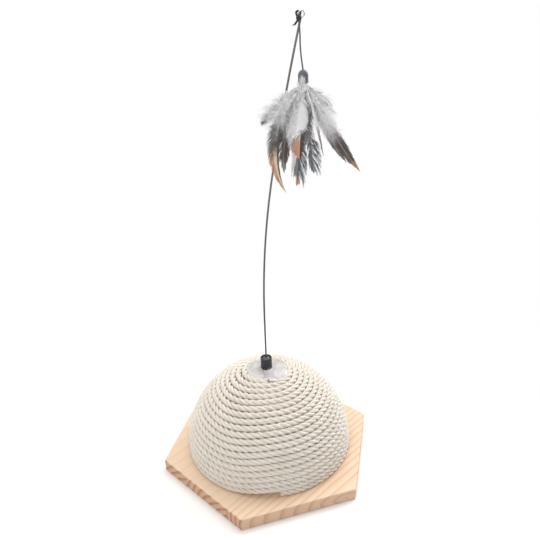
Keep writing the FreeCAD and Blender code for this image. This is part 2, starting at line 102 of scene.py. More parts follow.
class Wire:
    """One output of a node. A sum of wires makes the math nodes that work it out."""

    def __init__(self, nodes, socket):
        self.nodes = nodes
        self.socket = socket

    def __add__(self, other):
        return self.nodes.calc("ADD", self, other)

    def __sub__(self, other):
        return self.nodes.calc("SUBTRACT", self, other)

    def __rsub__(self, other):
        return self.nodes.calc("SUBTRACT", other, self)

    def __mul__(self, other):
        return self.nodes.calc("MULTIPLY", self, other)

    def __truediv__(self, other):
        return self.nodes.calc("DIVIDE", self, other)

    def __pow__(self, other):
        return self.nodes.calc("POWER", self, other)


print("wires ready")

# %% Placing nodes


class Wiring:
    """One node tree, and short ways to place and wire its nodes."""

    def __init__(self, tree):
        self.tree = tree

    def feed(self, node, wires):
        """Fill a node's inputs, each by a value or by a wire."""
        for key, value in wires.items():
            if isinstance(value, Wire):
                self.tree.links.new(value.socket, node.inputs[key])
            else:
                node.inputs[key].default_value = value

    def add(self, kind, wires=None, **settings):
        """A new node, with its settings made and its inputs filled."""
        node = self.tree.nodes.new(kind)
        for key, value in settings.items():
            setattr(node, key, value)
        self.feed(node, wires or {})
        return node

    def out(self, node, socket=0):
        """One output of a node, as a wire."""
        return Wire(self, node.outputs[socket])

    def put(self, kind, wires=None, socket=0, **settings):
        """One output of a new node, as a wire."""
        return self.out(self.add(kind, wires, **settings), socket)

    def calc(self, operation, *values):
        """One step of arithmetic on numbers."""
        return self.put("ShaderNodeMath", dict(enumerate(values)), operation=operation)

    def vector(self, operation, *values):
        """One step of arithmetic on vectors, whose result may be a number."""
        socket = "Value" if operation in ("DOT_PRODUCT", "LENGTH") else "Vector"
        return self.put("ShaderNodeVectorMath", dict(enumerate(values)), socket, operation=operation)

    def scaled(self, vector, number):
        """A vector or a colour times a number."""
        return self.put("ShaderNodeVectorMath", {0: vector, "Scale": number}, operation="SCALE")


print("wiring ready")

# %% Nodes that many finishes need


class Nodes(Wiring):
    """The same, with the nodes that come back in most trees."""

    def blend(self, share, first, second):
        """From the first colour to the second by a share."""
        return self.put("ShaderNodeMix", {0: share, 6: first, 7: second}, 2, data_type="RGBA")

    def ramp(self, value, low, high):
        """Nought below low, one above high, and smooth between."""
        return self.put("ShaderNodeMapRange", {0: value, 1: low, 2: high},
                        interpolation_type="SMOOTHSTEP")

    def place(self):
        """Where a point of the surface is."""
        return self.put("ShaderNodeTexCoord", socket="Object")

    def clouds(self, place, scale, detail, socket=0):
        """Smooth random numbers that change over the surface."""
        return self.put("ShaderNodeTexNoise", {"Vector": place, "Scale": scale, "Detail": detail},
                        socket)

    def dented(self, height, depth, strength):
        """The surface's normal, bent as if the height were real."""
        return self.put("ShaderNodeBump", {"Height": height, "Distance": depth, "Strength": strength})

    def attribute(self, name, socket="Fac"):
        """What a mesh says at a point, read by a material."""
        return self.put("ShaderNodeAttribute", socket=socket, attribute_name=name)


print("nodes ready")

# %% Materials and groups


def new_material(name, looks):
    """A material with one plain shader: the material, its nodes, and the shader with its looks."""
    material = bpy.data.materials.new(name)
    material.use_nodes = True
    material.node_tree.nodes.clear()
    nodes = Nodes(material.node_tree)
    finish = nodes.add("ShaderNodeBsdfPrincipled", looks)
    nodes.add("ShaderNodeOutputMaterial", {"Surface": nodes.out(finish)})
    return material, nodes, finish


def new_group(kind, name, inputs, outputs):
    """A node group with named sockets: its nodes, its inputs as wires, and its output node."""
    tree = bpy.data.node_groups.new(name, kind)
    for label, socket, value in inputs:
        made = tree.interface.new_socket(label, in_out="INPUT", socket_type="NodeSocket" + socket)
        if value is not None:
            made.default_value = value
    for label, socket in outputs:
        tree.interface.new_socket(label, in_out="OUTPUT", socket_type="NodeSocket" + socket)
    nodes = Nodes(tree)
    start = nodes.add("NodeGroupInput")
    wires = {label: nodes.out(start, label) for label, socket, value in inputs}
    return nodes, wires, nodes.add("NodeGroupOutput")


def colour(red, green, blue):
    """A colour as seen on screen, 0 to 255, as the shader's own numbers."""
    def linear(c):
        c = c / 255
        return c / 12.92 if c <= 0.04045 else ((c + 0.055) / 1.055) ** 2.4
    return (linear(red), linear(green), linear(blue), 1.0)


print("materials and groups ready")

# %% [markdown]
# ## Studio
# The floor is a plain pale sheet, and the light comes from large soft lamps, so that rope and
# feathers keep their own colours. The camera sees white where nothing else is, and so do mirrors and
# glass. The floor turns white a little way off, so that only the shadow near the board is kept.

# %% Background
SKY_TINT = (1.0, 0.99, 0.98, 1)
SKY_STRENGTH = 0.50


def white_for_camera(nodes):
    """One where the camera, a mirror or a glass looks straight at it, and nought elsewhere."""
    path = nodes.add("ShaderNodeLightPath")
    seen = nodes.calc("MAXIMUM", nodes.out(path, "Is Camera Ray"), nodes.out(path, "Is Glossy Ray"))
    return nodes.calc("MAXIMUM", seen, nodes.out(path, "Is Transmission Ray"))


world = bpy.data.worlds.new("studio")
scene.world = world
world.use_nodes = True
world.node_tree.nodes.clear()
sky = Nodes(world.node_tree)
soft_sky = sky.put("ShaderNodeBackground", {"Color": SKY_TINT, "Strength": SKY_STRENGTH})
white_sky = sky.put("ShaderNodeBackground", {"Color": (1, 1, 1, 1)})
sky_mix = sky.put("ShaderNodeMixShader", {0: white_for_camera(sky), 1: soft_sky, 2: white_sky})
sky.add("ShaderNodeOutputWorld", {"Surface": sky_mix})
print("background", world.name)

# %% Floor
FLOOR_REACH = 6.0
FLOOR_SHADE = (0.93, 0.93, 0.93, 1)
SHADOW_KEPT_TO = 0.13
SHADOW_GONE_AT = 0.32
floor_mesh = bpy.data.meshes.new("floor")
floor_corners = [(x * FLOOR_REACH, y * FLOOR_REACH, 0)
                 for x, y in ((-1, -1), (1, -1), (1, 1), (-1, 1))]
floor_mesh.from_pydata(floor_corners, [], [(0, 1, 2, 3)])
floor = shown("floor", floor_mesh)
pale_floor, floor_nodes, floor_finish = new_material("pale_floor", {
    "Base Color": FLOOR_SHADE, "Roughness": 0.9, "Specular IOR Level": 0.0})
from_middle = floor_nodes.vector("LENGTH", floor_nodes.place())
whitened = floor_nodes.ramp(from_middle, SHADOW_KEPT_TO, SHADOW_GONE_AT)
whitened = whitened * white_for_camera(floor_nodes)
floor_glow = floor_nodes.put("ShaderNodeEmission")
floor_mix = floor_nodes.put("ShaderNodeMixShader", {
    0: whitened, 1: floor_nodes.out(floor_finish), 2: floor_glow})
floor_end = next(n for n in floor_nodes.tree.nodes if n.type == "OUTPUT_MATERIAL")
floor_nodes.feed(floor_end, {"Surface": floor_mix})
floor_mesh.materials.append(pale_floor)
print("floor", FLOOR_REACH, "m each way")

# %% Lamps
# Place, aim, width, power and colour of each lamp.
lamps = {
    "top_lamp": ((0.10, 0.38, 1.36), (0, 0, 0.10), 1.3, 12.0, (1.0, 0.99, 0.98)),
    "key_lamp": ((-0.85, -0.75, 1.05), (0, 0, 0.12), 0.9, 5.4, (1.0, 0.98, 0.96)),
    "right_lamp": ((1.0, 0.35, 0.80), (0, 0, 0.10), 1.0, 9.0, (0.98, 0.99, 1.0)),
    "left_lamp": ((-1.0, 0.40, 0.80), (0, 0, 0.10), 1.0, 0.9, (0.98, 0.99, 1.0)),
}
for lamp_name, (lamp_place, aim, lamp_width, power, tint) in lamps.items():
    light = bpy.data.lights.new(lamp_name, "AREA")
    light.shape = "DISK"
    light.size = lamp_width
    light.energy = power
    light.color = tint
    lamp_turn = (Vector(aim) - Vector(lamp_place)).to_track_quat("-Z", "Y").to_matrix()
    lamp = shown(lamp_name, light)
    lamp.matrix_world = Matrix.Translation(lamp_place) @ lamp_turn.to_4x4()
print("lamps", list(lamps))

# %% [markdown]
# ## Plain hard finishes
# Moulded plastic, rubber and plated steel are never one even colour: they have faint clouds, a fine
# grain and a gloss that varies. One shader group gives all three, and each material has its own
# values. The wire's sleeve has painted shade: its colour is darkest at its foot and pales towards the
# eye.

# %% Mottle group
CLOUD_SHARE = 0.7
mottle, mottle_in, mottle_out = new_group(
    "ShaderNodeTree", "mottle",
    [("Colour", "Color", (0.5, 0.5, 0.5, 1)), ("Clouds per metre", "Float", 120.0),
     ("Grain per metre", "Float", 4000.0), ("Strength", "Float", 0.15), ("Roughness", "Float", 0.5)],
    [("Colour", "Color"), ("Roughness", "Float"), ("Height", "Float")])
mottle_place = mottle.place()
soft_clouds = mottle.clouds(mottle_place, mottle_in["Clouds per metre"], detail=4.0)
fine_grain = mottle.clouds(mottle_place, mottle_in["Grain per metre"], detail=2.0)
mottle_mix = soft_clouds * CLOUD_SHARE + fine_grain * (1 - CLOUD_SHARE)
mottle_swing = (mottle_mix - 0.5) * mottle_in["Strength"]
mottle.feed(mottle_out, {
    "Colour": mottle.scaled(mottle_in["Colour"], mottle_swing * 2.0 + 1.0),
    "Roughness": mottle_in["Roughness"] + mottle_swing,
    "Height": fine_grain})
print("mottle group", len(mottle.tree.nodes), "nodes")

# %% A mottled finish
DENT_DEPTH = 0.03 * MM
DENT_STRENGTH = 0.6


def hard_finish(name, shade, roughness, metallic, clouds, grain, strength):
    """A moulded or plated finish, from the mottle group."""
    material, nodes, finish = new_material(name, {"Metallic": metallic})
    spots = nodes.add("ShaderNodeGroup", {
        "Colour": colour(*shade), "Clouds per metre": clouds, "Grain per metre": grain,
        "Strength": strength, "Roughness": roughness}, node_tree=mottle.tree)
    nodes.feed(finish, {
        "Base Color": nodes.out(spots, "Colour"), "Roughness": nodes.out(spots, "Roughness"),
        "Normal": nodes.dented(nodes.out(spots, "Height"), DENT_DEPTH, DENT_STRENGTH)})
    return material


def dress(node_name, material):
    """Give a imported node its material."""
    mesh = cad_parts[node_name].data
    mesh.materials.clear()
    mesh.materials.append(material)


print("mottled finishes ready")

# %% Hard materials
# Material, colour, roughness, metallic, clouds and grain per metre, strength of the mottle.
hard_table = {
    "dome_former": ("white_polypropylene", (222, 217, 205), 0.5, 0.0, 120.0, 4000.0, 0.15),
    "board_screws": ("zinc_steel", (190, 190, 186), 0.34, 1.0, 400.0, 9000.0, 0.15),
    "socket_washer": ("washer_steel", (186, 187, 186), 0.36, 1.0, 400.0, 9000.0, 0.15),
    "socket_screw": ("screw_steel", (182, 182, 178), 0.36, 1.0, 400.0, 9000.0, 0.15),
    "socket_cup": ("black_plastic", (36, 37, 41), 0.52, 0.0, 300.0, 7000.0, 0.2),
    "wire_plug": ("grey_rubber", (92, 93, 97), 0.62, 0.0, 500.0, 6000.0, 0.3),
    "wire_stop_ball": ("ball_steel", (170, 170, 170), 0.3, 1.0, 500.0, 9000.0, 0.15),
    "wire_collar": ("black_rubber", (44, 44, 47), 0.6, 0.0, 600.0, 6000.0, 0.3),
    "wire_core": ("spring_steel", (196, 196, 195), 0.32, 1.0, 200.0, 8000.0, 0.2),
    # The sleeve's colour here is its darkest painted-shade colour, at the foot; a later cell pales it
    # upwards.
    "wire_sleeve": ("wire_sleeve", (70, 68, 67), 0.48, 0.0, 90.0, 5000.0, 0.25),
    "cord_stop_knot": ("knot_cord", (60, 60, 63), 0.85, 0.0, 900.0, 5000.0, 0.4),
    "feather_cap": ("slate_plastic", (86, 93, 103), 0.45, 0.0, 350.0, 6000.0, 0.3),
    "quill_glue": ("clear_glue", (214, 205, 184), 0.25, 0.0, 700.0, 5000.0, 0.2),
}
hard_finishes = {node_name: hard_finish(*row) for node_name, row in hard_table.items()}
for node_name, hard_material in hard_finishes.items():
    dress(node_name, hard_material)
print("hard finishes", len(hard_finishes))

# %% Painted shade: the sleeve darkens towards its foot
SLEEVE_FOOT = 0.11
SLEEVE_TOP = 0.37
SLEEVE_FOOT_PAINTED_SHADE = colour(*hard_table["wire_sleeve"][1])
SLEEVE_TOP_PAINTED_LIGHT = colour(118, 111, 107)
sleeve = Nodes(hard_finishes["wire_sleeve"].node_tree)
sleeve_height = sleeve.put("ShaderNodeSeparateXYZ", {0: sleeve.place()}, "Z")
# Painted shade: by height, the sleeve's colour goes from dark at the foot to pale at the top.
sleeve_painted_light_share = sleeve.ramp(sleeve_height, SLEEVE_FOOT, SLEEVE_TOP)
sleeve_spots = next(n for n in sleeve.tree.nodes if n.type == "GROUP")
sleeve.feed(sleeve_spots, {"Colour": sleeve.blend(sleeve_painted_light_share, SLEEVE_FOOT_PAINTED_SHADE, SLEEVE_TOP_PAINTED_LIGHT)})
print("sleeve pales from", SLEEVE_FOOT, "to", SLEEVE_TOP, "m")

# %% [markdown]
# ## Pine board
# The board is glued from pine staves. Lines drawn on each face would not meet at the edges. Growth
# rings are cylinders round each stave's own heart, so one solid pattern gives lines on the top, waves
# on the slanted sides and arcs on the end grain, and they meet as in real wood. A colour ramp with
# hard steps keeps what differs between staves.

# %% Staves
GRAIN_ANGLE = math.radians(30.0)
STAVE_WIDTH = 53.0 * MM
FIRST_JOINT = 18.7 * MM
STAVES_BEFORE_MIDDLE = 3.5
pine, wood, pine_finish = new_material("pine", {"Specular IOR Level": 0.35})
grain_place = wood.put("ShaderNodeMapping", {"Vector": wood.place(), "Rotation": (0, 0, GRAIN_ANGLE)},
                       vector_type="TEXTURE")
grain_axes = wood.add("ShaderNodeSeparateXYZ", {0: grain_place})
along_grain, across_grain, board_height = (wood.out(grain_axes, axis) for axis in "XYZ")
stave_place = (across_grain - FIRST_JOINT) / STAVE_WIDTH
stave_number = wood.calc("FLOOR", stave_place)
in_stave = stave_place - stave_number
# Red: heart across the stave. Green: heart below the board. Blue: ring width. Alpha: line strength.
stave_table = [
    (0.587, 0.04, 0.46, 1.0), (0.253, 0.04, 0.46, 1.0), (0.12, 0.72, 0.50, 0.28),
    (0.14, 0.70, 0.58, 0.35), (0.30, 0.52, 0.52, 0.6), (0.60, 0.50, 0.50, 0.7)]
stave_ramp = wood.add("ShaderNodeValToRGB", {
    0: (stave_number + STAVES_BEFORE_MIDDLE) / float(len(stave_table))})
stave_ramp.color_ramp.interpolation = "CONSTANT"
stave_stops = stave_ramp.color_ramp.elements
while len(stave_stops) < len(stave_table):
    stave_stops.new(0.5)
for number, (stop, row) in enumerate(zip(stave_stops, stave_table)):
    stop.position = number / len(stave_table)
    stop.color = row
stave_facts = wood.add("ShaderNodeSeparateColor", {0: wood.out(stave_ramp)})
heart_aside, heart_under, ring_share = (wood.out(stave_facts, number) for number in range(3))
line_strength = wood.out(stave_ramp, "Alpha")
print("staves of", STAVE_WIDTH, "m")

# %% Growth rings
RING_DRIFT = 0.012
GRAIN_SLANT = 0.03
HEART_SPAN = 3.0
HEART_DEPTH = 0.08
HEART_TOP = 0.008
WIDEST_RING = 0.0125
LATE_WOOD_SHARPNESS = 3.5
LATE_WOOD_ENDS = 0.93
# A heart lies up to a stave's width beside its stave, and from 8 mm above the underside to 72 mm below.
drift_place = wood.put("ShaderNodeMapping", {"Vector": grain_place, "Scale": (3.0, 16.0, 16.0)})
ring_drift = (wood.clouds(drift_place, scale=1.6, detail=2.0) - 0.5) * RING_DRIFT
from_heart = in_stave - (heart_aside * HEART_SPAN - 1.0)
heart_across = from_heart * STAVE_WIDTH + along_grain * GRAIN_SLANT
heart_below = board_height + (heart_under * HEART_DEPTH - HEART_TOP)
ring_radius = wood.calc("SQRT", heart_across**2.0 + heart_below**2.0) + ring_drift
ring = wood.calc("FRACT", ring_radius / (ring_share * WIDEST_RING))
late_wood = ring**LATE_WOOD_SHARPNESS * (1.0 - wood.ramp(ring, LATE_WOOD_ENDS, 1.0))
print("rings drift by", RING_DRIFT / 2, "m at most")

# %% Pine colours
LINE_STRENGTH = 0.8
GLUE_STRENGTH = 0.25
PORE_STRENGTH = 0.22
SIDE_PAINTED_SHADE_STRENGTH = 0.30
PINE_ROUGHNESS = 0.52
PORE_ROUGHNESS = 0.16
pore_place = wood.put("ShaderNodeMapping", {"Vector": grain_place, "Scale": (0.05, 1.0, 1.0)})
pores = wood.clouds(pore_place, scale=2600.0, detail=3.0)
blush = wood.clouds(grain_place, scale=22.0, detail=2.0)
wood_facing = wood.put("ShaderNodeNewGeometry", socket="Normal")
grain_way = (math.cos(GRAIN_ANGLE), math.sin(GRAIN_ANGLE), 0)
end_on = wood.calc("ABSOLUTE", wood.vector("DOT_PRODUCT", wood_facing, grain_way))
upright = wood.calc("ABSOLUTE", wood.put("ShaderNodeSeparateXYZ", {0: wood_facing}, "Z"))
near_joint = wood.calc("ABSOLUTE", in_stave - 0.5)
glue_line = wood.ramp(near_joint, 0.4945, 0.4995)
# Painted shade: the board's sides, the faces that are not level, are darkened by how upright they
# stand.
side_painted_shade = 1.0 - wood.ramp(upright, 0.2, 0.9)
wood_shade = wood.blend(blush, colour(232, 211, 188), colour(223, 198, 172))
ring_line = late_wood * line_strength * LINE_STRENGTH
wood_shade = wood.blend(ring_line, wood_shade, colour(205, 152, 106))
end_shade = wood.blend(wood.ramp(ring, 0.45, 0.85), colour(212, 178, 150), colour(160, 112, 86))
wood_shade = wood.blend(wood.ramp(end_on, 0.3, 0.95), wood_shade, end_shade)
wood_shade = wood.blend(glue_line * GLUE_STRENGTH, wood_shade, colour(176, 126, 92))
wood_shade = wood.blend(pores * PORE_STRENGTH, wood_shade, colour(214, 166, 122))
# The painted shade on the sides is blended in here.
wood_shade = wood.blend(side_painted_shade * SIDE_PAINTED_SHADE_STRENGTH, wood_shade, colour(170, 126, 98))
wood.feed(pine_finish, {
    "Base Color": wood_shade, "Roughness": pores * PORE_ROUGHNESS + PINE_ROUGHNESS,
    "Normal": wood.dented(late_wood * 0.5 + pores, depth=0.06 * MM, strength=0.5)})
dress("base_board", pine)
print("pine", len(wood.tree.nodes), "nodes")

# %% [markdown]
# ## Pieces from a path
# Rope, cord and feathers are all long things made of many thin ones. Each starts as a bare chain of
# points with named attributes, and a geometry tree grows the piece along it. The result is made a
# plain mesh at once, because modifiers and instances don't travel with the finished model.

# %% A chain of points


def chain(name, points, **facts):
    """A mesh of points joined in a row, with named numbers or vectors on each point."""
    mesh = bpy.data.meshes.new(name)
    mesh.from_pydata([tuple(p) for p in points], [(i, i + 1) for i in range(len(points) - 1)], [])
    for label, values in facts.items():
        values = np.asarray(values, np.float32)
        is_vector = values.ndim == 2
        layer = mesh.attributes.new(label, "FLOAT_VECTOR" if is_vector else "FLOAT", "POINT")
        layer.data.foreach_set("vector" if is_vector else "value", values.ravel())
    return mesh


print("chains ready")

# %% From a chain to a finished piece


def plain_mesh(made):
    """What an object looks like with its modifiers, as a mesh of its own."""
    bpy.context.view_layer.update()
    evaluated = made.evaluated_get(bpy.context.evaluated_depsgraph_get())
    return bpy.data.meshes.new_from_object(evaluated)


def grown(name, source, nodes, **values):
    """The plain mesh that a geometry tree makes from a source mesh."""
    start = shown(name + "_start", source)
    modifier = start.modifiers.new("grow", "NODES")
    modifier.node_group = nodes.tree
    items = nodes.tree.interface.items_tree
    sockets = {item.name: item.identifier for item in items if item.in_out == "INPUT"}
    for label, value in values.items():
        modifier[sockets[label.replace("_", " ").capitalize()]] = value
    mesh = plain_mesh(start)
    mesh.name = name
    bpy.data.objects.remove(start)
    return mesh


def piece(name, mesh, body, slot, *stands_for):
    """A finished piece: shown, riding on its body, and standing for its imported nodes."""
    made = shown(name, mesh)
    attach(made, body)
    if stands_for:
        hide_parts(*stands_for)
    print(name, len(mesh.polygons), "faces")
    return made


print("pieces ready")

# %% Geometry nodes that more than one tree uses


def fact(nodes, name, kind="FLOAT"):
    """What a chain says at each point."""
    return nodes.put("GeometryNodeInputNamedAttribute", {0: name}, data_type=kind)


def noted(nodes, geometry, name, value, kind="FLOAT"):
    """The same geometry, with one more named attribute on its points."""
    return nodes.put("GeometryNodeStoreNamedAttribute", {0: geometry, 2: name, 3: value},
                     data_type=kind, domain="POINT")


def swept(nodes, path, section, **inputs):
    """A closed solid, from a section that follows a path."""
    return nodes.put("GeometryNodeCurveToMesh", {0: path, 1: section, "Fill Caps": True, **inputs})


def finished(nodes, geometry, material):
    """Plain geometry with its material, which is how every tree ends."""
    plain = nodes.put("GeometryNodeRealizeInstances", {0: geometry})
    return nodes.put("GeometryNodeSetMaterial", {0: plain, "Material": material})


print("geometry helpers ready")

# %% [markdown]
# ## The laid strand
# A rope is strands laid round each other. A pattern on a smooth tube would leave its outline smooth,
# so the strands are real. The tree pushes the path sideways, turning as it goes, which makes a helix,
# and sweeps a round section along it. It keeps how far along and which way round each point is, so
# that the yarns can be drawn along the strand by the material.

# %% Geometry tree: one laid strand
strand, strand_in, strand_out = new_group(
    "GeometryNodeTree", "laid_strand",
    [("Geometry", "Geometry", None), ("Strand", "Int", 0), ("Strands", "Int", 3),
     ("Offset", "Float", 0.001), ("Radius", "Float", 0.001), ("Lay length", "Float", 0.018),
     ("Sides", "Int", 8), ("Material", "Material", None)],
    [("Geometry", "Geometry")])
travelled = strand.put("GeometryNodeSplineParameter", socket="Length")
laid_turns = travelled / strand_in["Lay length"] + strand_in["Strand"] / strand_in["Strands"]
laid_angle = laid_turns * math.tau
heading = strand.put("GeometryNodeInputTangent")
outward = fact(strand, "outward", "FLOAT_VECTOR")
downward = strand.vector("NORMALIZE", strand.vector("CROSS_PRODUCT", heading, outward))
pushed_to = strand.vector(
    "ADD", strand.scaled(outward, strand.calc("COSINE", laid_angle)),
    strand.scaled(downward, strand.calc("SINE", laid_angle)))
strand_path = strand.put("GeometryNodeMeshToCurve", {0: strand_in["Geometry"]})
strand_path = noted(strand, strand_path, "along", travelled)
helix = strand.put("GeometryNodeSetPosition", {
    0: strand_path, "Offset": strand.scaled(pushed_to, strand_in["Offset"])})
strand_round = strand.put("GeometryNodeCurvePrimitiveCircle", {
    "Resolution": strand_in["Sides"], "Radius": strand_in["Radius"]})
round_way = strand.vector("NORMALIZE", strand.put("GeometryNodeInputPosition"))
strand_round = noted(strand, strand_round, "around", round_way, "FLOAT_VECTOR")
strand_solid = strand.put("GeometryNodeSetShadeSmooth", {0: swept(strand, helix, strand_round)})
strand.feed(strand_out, {0: finished(strand, strand_solid, strand_in["Material"])})
print("strand tree", len(strand.tree.nodes), "nodes")

# %% [markdown]
# ## Yarn finish
# A strand is itself twisted from yarns, and a yarn from fibres. They are too fine and too many to
# model, and show only as slanted lines. So the group draws stripes that run along the strand and
# round it, darkened in the grooves between yarns as painted shade, and breaks them up with noise
# for random tone.

# %% Yarn group
GROOVE_SHADE_WEIGHT = 0.22
FIBRE_WEIGHT = 0.45
PATCH_WEIGHT = 0.45
FIBRE_HEIGHT = 0.8
yarn, yarn_in, yarn_out = new_group(
    "ShaderNodeTree", "yarn",
    [("Yarns", "Float", 5.0), ("Turns per metre", "Float", 70.0),
     ("Light", "Color", (0.8, 0.8, 0.8, 1)), ("Dark tone and groove shade", "Color", (0.4, 0.4, 0.4, 1)),
     ("Patches per metre", "Float", 60.0)],
    [("Colour", "Color"), ("Height", "Float")])
yarn_around = yarn.add("ShaderNodeSeparateXYZ", {0: yarn.attribute("around", "Vector")})
yarn_angle = yarn.calc("ARCTAN2", yarn.out(yarn_around, "Y"), yarn.out(yarn_around, "X"))
yarn_twist = yarn.attribute("along") * yarn_in["Turns per metre"] * -math.tau
# Painted shade: these stripes darken the grooves between yarns in the colour, and also raise the yarns
# in the bump.
yarn_grooves = yarn.calc("SINE", yarn_angle * yarn_in["Yarns"] + yarn_twist) * 0.5 + 0.5
yarn_place = yarn.place()
fibres = yarn.clouds(yarn_place, scale=2600.0, detail=3.0)
patches = yarn.clouds(yarn_place, yarn_in["Patches per metre"], detail=3.0)
yarn_light = yarn_grooves * GROOVE_SHADE_WEIGHT + fibres * FIBRE_WEIGHT + patches * PATCH_WEIGHT
yarn.feed(yarn_out, {
    "Colour": yarn.blend(yarn.ramp(yarn_light, 0.15, 0.85), yarn_in["Dark tone and groove shade"], yarn_in["Light"]),
    "Height": yarn_grooves + fibres * FIBRE_HEIGHT})
print("yarn group", len(yarn.tree.nodes), "nodes")

# %% Spun materials


def yarn_finish(name, light, dark, yarns, turns_per_metre, depth, sheen):
    """A spun finish, from the yarn group."""
    material, nodes, finish = new_material(name, {
        "Roughness": 0.92, "Specular IOR Level": 0.15, "Sheen Weight": sheen})
    spun = nodes.add("ShaderNodeGroup", {
        "Yarns": yarns, "Turns per metre": turns_per_metre,
        "Light": colour(*light), "Dark tone and groove shade": colour(*dark)}, node_tree=yarn.tree)
    nodes.feed(finish, {
        "Base Color": nodes.out(spun, "Colour"),
        "Normal": nodes.dented(nodes.out(spun, "Height"), depth, strength=0.7)})
    return material


# Each finish's second colour is both the yarns' dark tone and the painted shade in their grooves.
cotton = yarn_finish("cotton_rope", (237, 231, 221), (221, 213, 201), yarns=6.0,
                     turns_per_metre=95.0, depth=0.40 * MM, sheen=0.15)
black_cord = yarn_finish("black_cord", (112, 112, 115), (66, 66, 69), yarns=4.0,
                         turns_per_metre=500.0, depth=0.05 * MM, sheen=0.1)
# Painted shade: a darker copy of the black cord's finish, for the knot and its frayed threads.
knot_shaded_cord = yarn_finish("knot_shaded_cord", (74, 74, 77), (38, 38, 41), yarns=4.0,
                         turns_per_metre=500.0, depth=0.05 * MM, sheen=0.1)
print("spun finishes", cotton.name, black_cord.name, knot_shaded_cord.name)

# %% [markdown]
# ## Rope winding
# One rope is wound on the dome from the board to the crown. Each turn lies level, and then climbs to
# the next over the same length of rope, at the front. The path is a rule, so it is worked out here
# turn by turn from the sizes of the dome, with a slight waver, and three strands are laid along it.

# %% Where the rope lies on the dome
FORMER_RADIUS = 73.5
ROPE_CENTRE_RADIUS = 76.2
SKIRT = 2.4
BOARD_TOP = 12.0
DOME_CENTRE = BOARD_TOP + SKIRT
ROPE_SPACING = 5.4
ROPE_TURNS = 19
FIRST_CLIMB = 2.7
CLIMB_LENGTH = 56.0
WINDING_START = -96.0
LEAD_IN = 3.6
TAIL_SHARE = 0.95


def smooth_step(value, low, high):
    """Nought at low, one at high, and smooth between."""
    t = np.clip((value - low) / (high - low), 0, 1)
    return t * t * (3 - 2 * t)


def dome_place(climb):
    """Radius, height and outward lean of the rope's centre after climbing this far up the dome."""
    rise = np.maximum(climb - SKIRT, 0) / ROPE_CENTRE_RADIUS
    height = BOARD_TOP + np.minimum(climb, SKIRT) + ROPE_CENTRE_RADIUS * np.sin(rise)
    return ROPE_CENTRE_RADIUS * np.cos(rise), height, rise


def climb_sweep(turn):
    """The angle in which a turn climbs to the next, which grows as the turns get smaller."""
    return np.degrees(CLIMB_LENGTH / dome_place(FIRST_CLIMB + ROPE_SPACING * turn)[0])


print("first turn climbs in", round(float(climb_sweep(0)), 1), "degrees")

# %% Path of the rope
ROPE_STEP = 1.5
LONG_WAVER = 0.08
LONG_WAVER_RATE = 0.054
SHORT_WAVER = 0.05
SHORT_WAVER_RATE = 0.127


def winding():
    """Points along the rope's centre, which way is out from the dome at each, and the length."""
    last_degree = 360.0 * ROPE_TURNS - climb_sweep(ROPE_TURNS - 1) * (1 - TAIL_SHARE)
    degrees = np.arange(-LEAD_IN, last_degree, 1.0)
    turn = np.maximum(np.floor(degrees / 360.0), 0)
    climbed = smooth_step((degrees - 360.0 * (turn + 1)) / climb_sweep(turn) + 1, 0, 1)
    angle = np.radians(WINDING_START + degrees)
    waver = LONG_WAVER * np.sin(degrees * LONG_WAVER_RATE)
    waver = waver + SHORT_WAVER * np.sin(degrees * SHORT_WAVER_RATE + 1.0)
    radius, z, rise = dome_place(FIRST_CLIMB + ROPE_SPACING * (turn + climbed))
    level = np.stack([np.cos(angle), np.sin(angle)], 1)
    out = np.column_stack([np.cos(rise)[:, None] * level, np.sin(rise)])
    points = np.column_stack([radius[:, None] * level, z]) + out * waver[:, None]
    steps = np.linalg.norm(np.diff(points, axis=0), axis=1)
    so_far = np.concatenate([[0], np.cumsum(steps)])
    stops = np.linspace(0, so_far[-1], int(so_far[-1] / ROPE_STEP))
    points, out = (np.stack([np.interp(stops, so_far, column) for column in table.T], 1)
                   for table in (points, out))
    return points * MM, out / np.linalg.norm(out, axis=1)[:, None], so_far[-1]


rope_points, rope_out, rope_length = winding()
print("rope length", round(rope_length), "mm")

# %% Rope
rope_meshes = []
for number in range(3):
    rope_name = "rope_strand_%d" % (number + 1)
    rope_mesh = grown(rope_name, chain("rope_path", rope_points, outward=rope_out), strand,
                      strand=number, strands=3, offset=1.50 * MM, radius=1.42 * MM,
                      lay_length=19.0 * MM, sides=10, material=cotton)
    piece(rope_name, rope_mesh, "base", "cotton_rope", "rope_winding")
    rope_meshes.append(rope_mesh)
print("strands", len(rope_meshes))

# %% [markdown]
# ## Loose hairs
# Cotton sheds short hairs, and plush is nothing but hairs. Hair from a particle system isn't a mesh,
# so a tree scatters bent hairs over a surface, each leaning its own way. A hair has three sides and
# three lengths, because there are thousands.

# %% Geometry tree: hairs on a surface
HAIR_BEND = 0.6
HAIR_TAPER = 0.9
hair, hair_in, hair_out = new_group(
    "GeometryNodeTree", "hairs",
    [("Geometry", "Geometry", None), ("Hairs per square metre", "Float", 1000.0),
     ("Length", "Float", 0.002), ("Thickness", "Float", 0.0001), ("Lean", "Float", 0.8),
     ("Seed", "Int", 7), ("Keep surface", "Bool", True), ("Material", "Material", None)],
    [("Geometry", "Geometry")])
up_stem = hair.put("GeometryNodeSplineParameter", socket="Factor")
stem = hair.put("GeometryNodeCurvePrimitiveLine", {"End": (0, 0, 1)})
stem = hair.put("GeometryNodeResampleCurve", {0: stem, "Count": 4})
stem = hair.put("GeometryNodeSetPosition", {
    0: stem, "Offset": hair.put("ShaderNodeCombineXYZ", {0: up_stem**2.0 * HAIR_BEND})})
stem_round = hair.put("GeometryNodeCurvePrimitiveCircle", {"Resolution": 3, "Radius": 0.5})
stem_width = (1.0 - up_stem * HAIR_TAPER) * (hair_in["Thickness"] / hair_in["Length"])
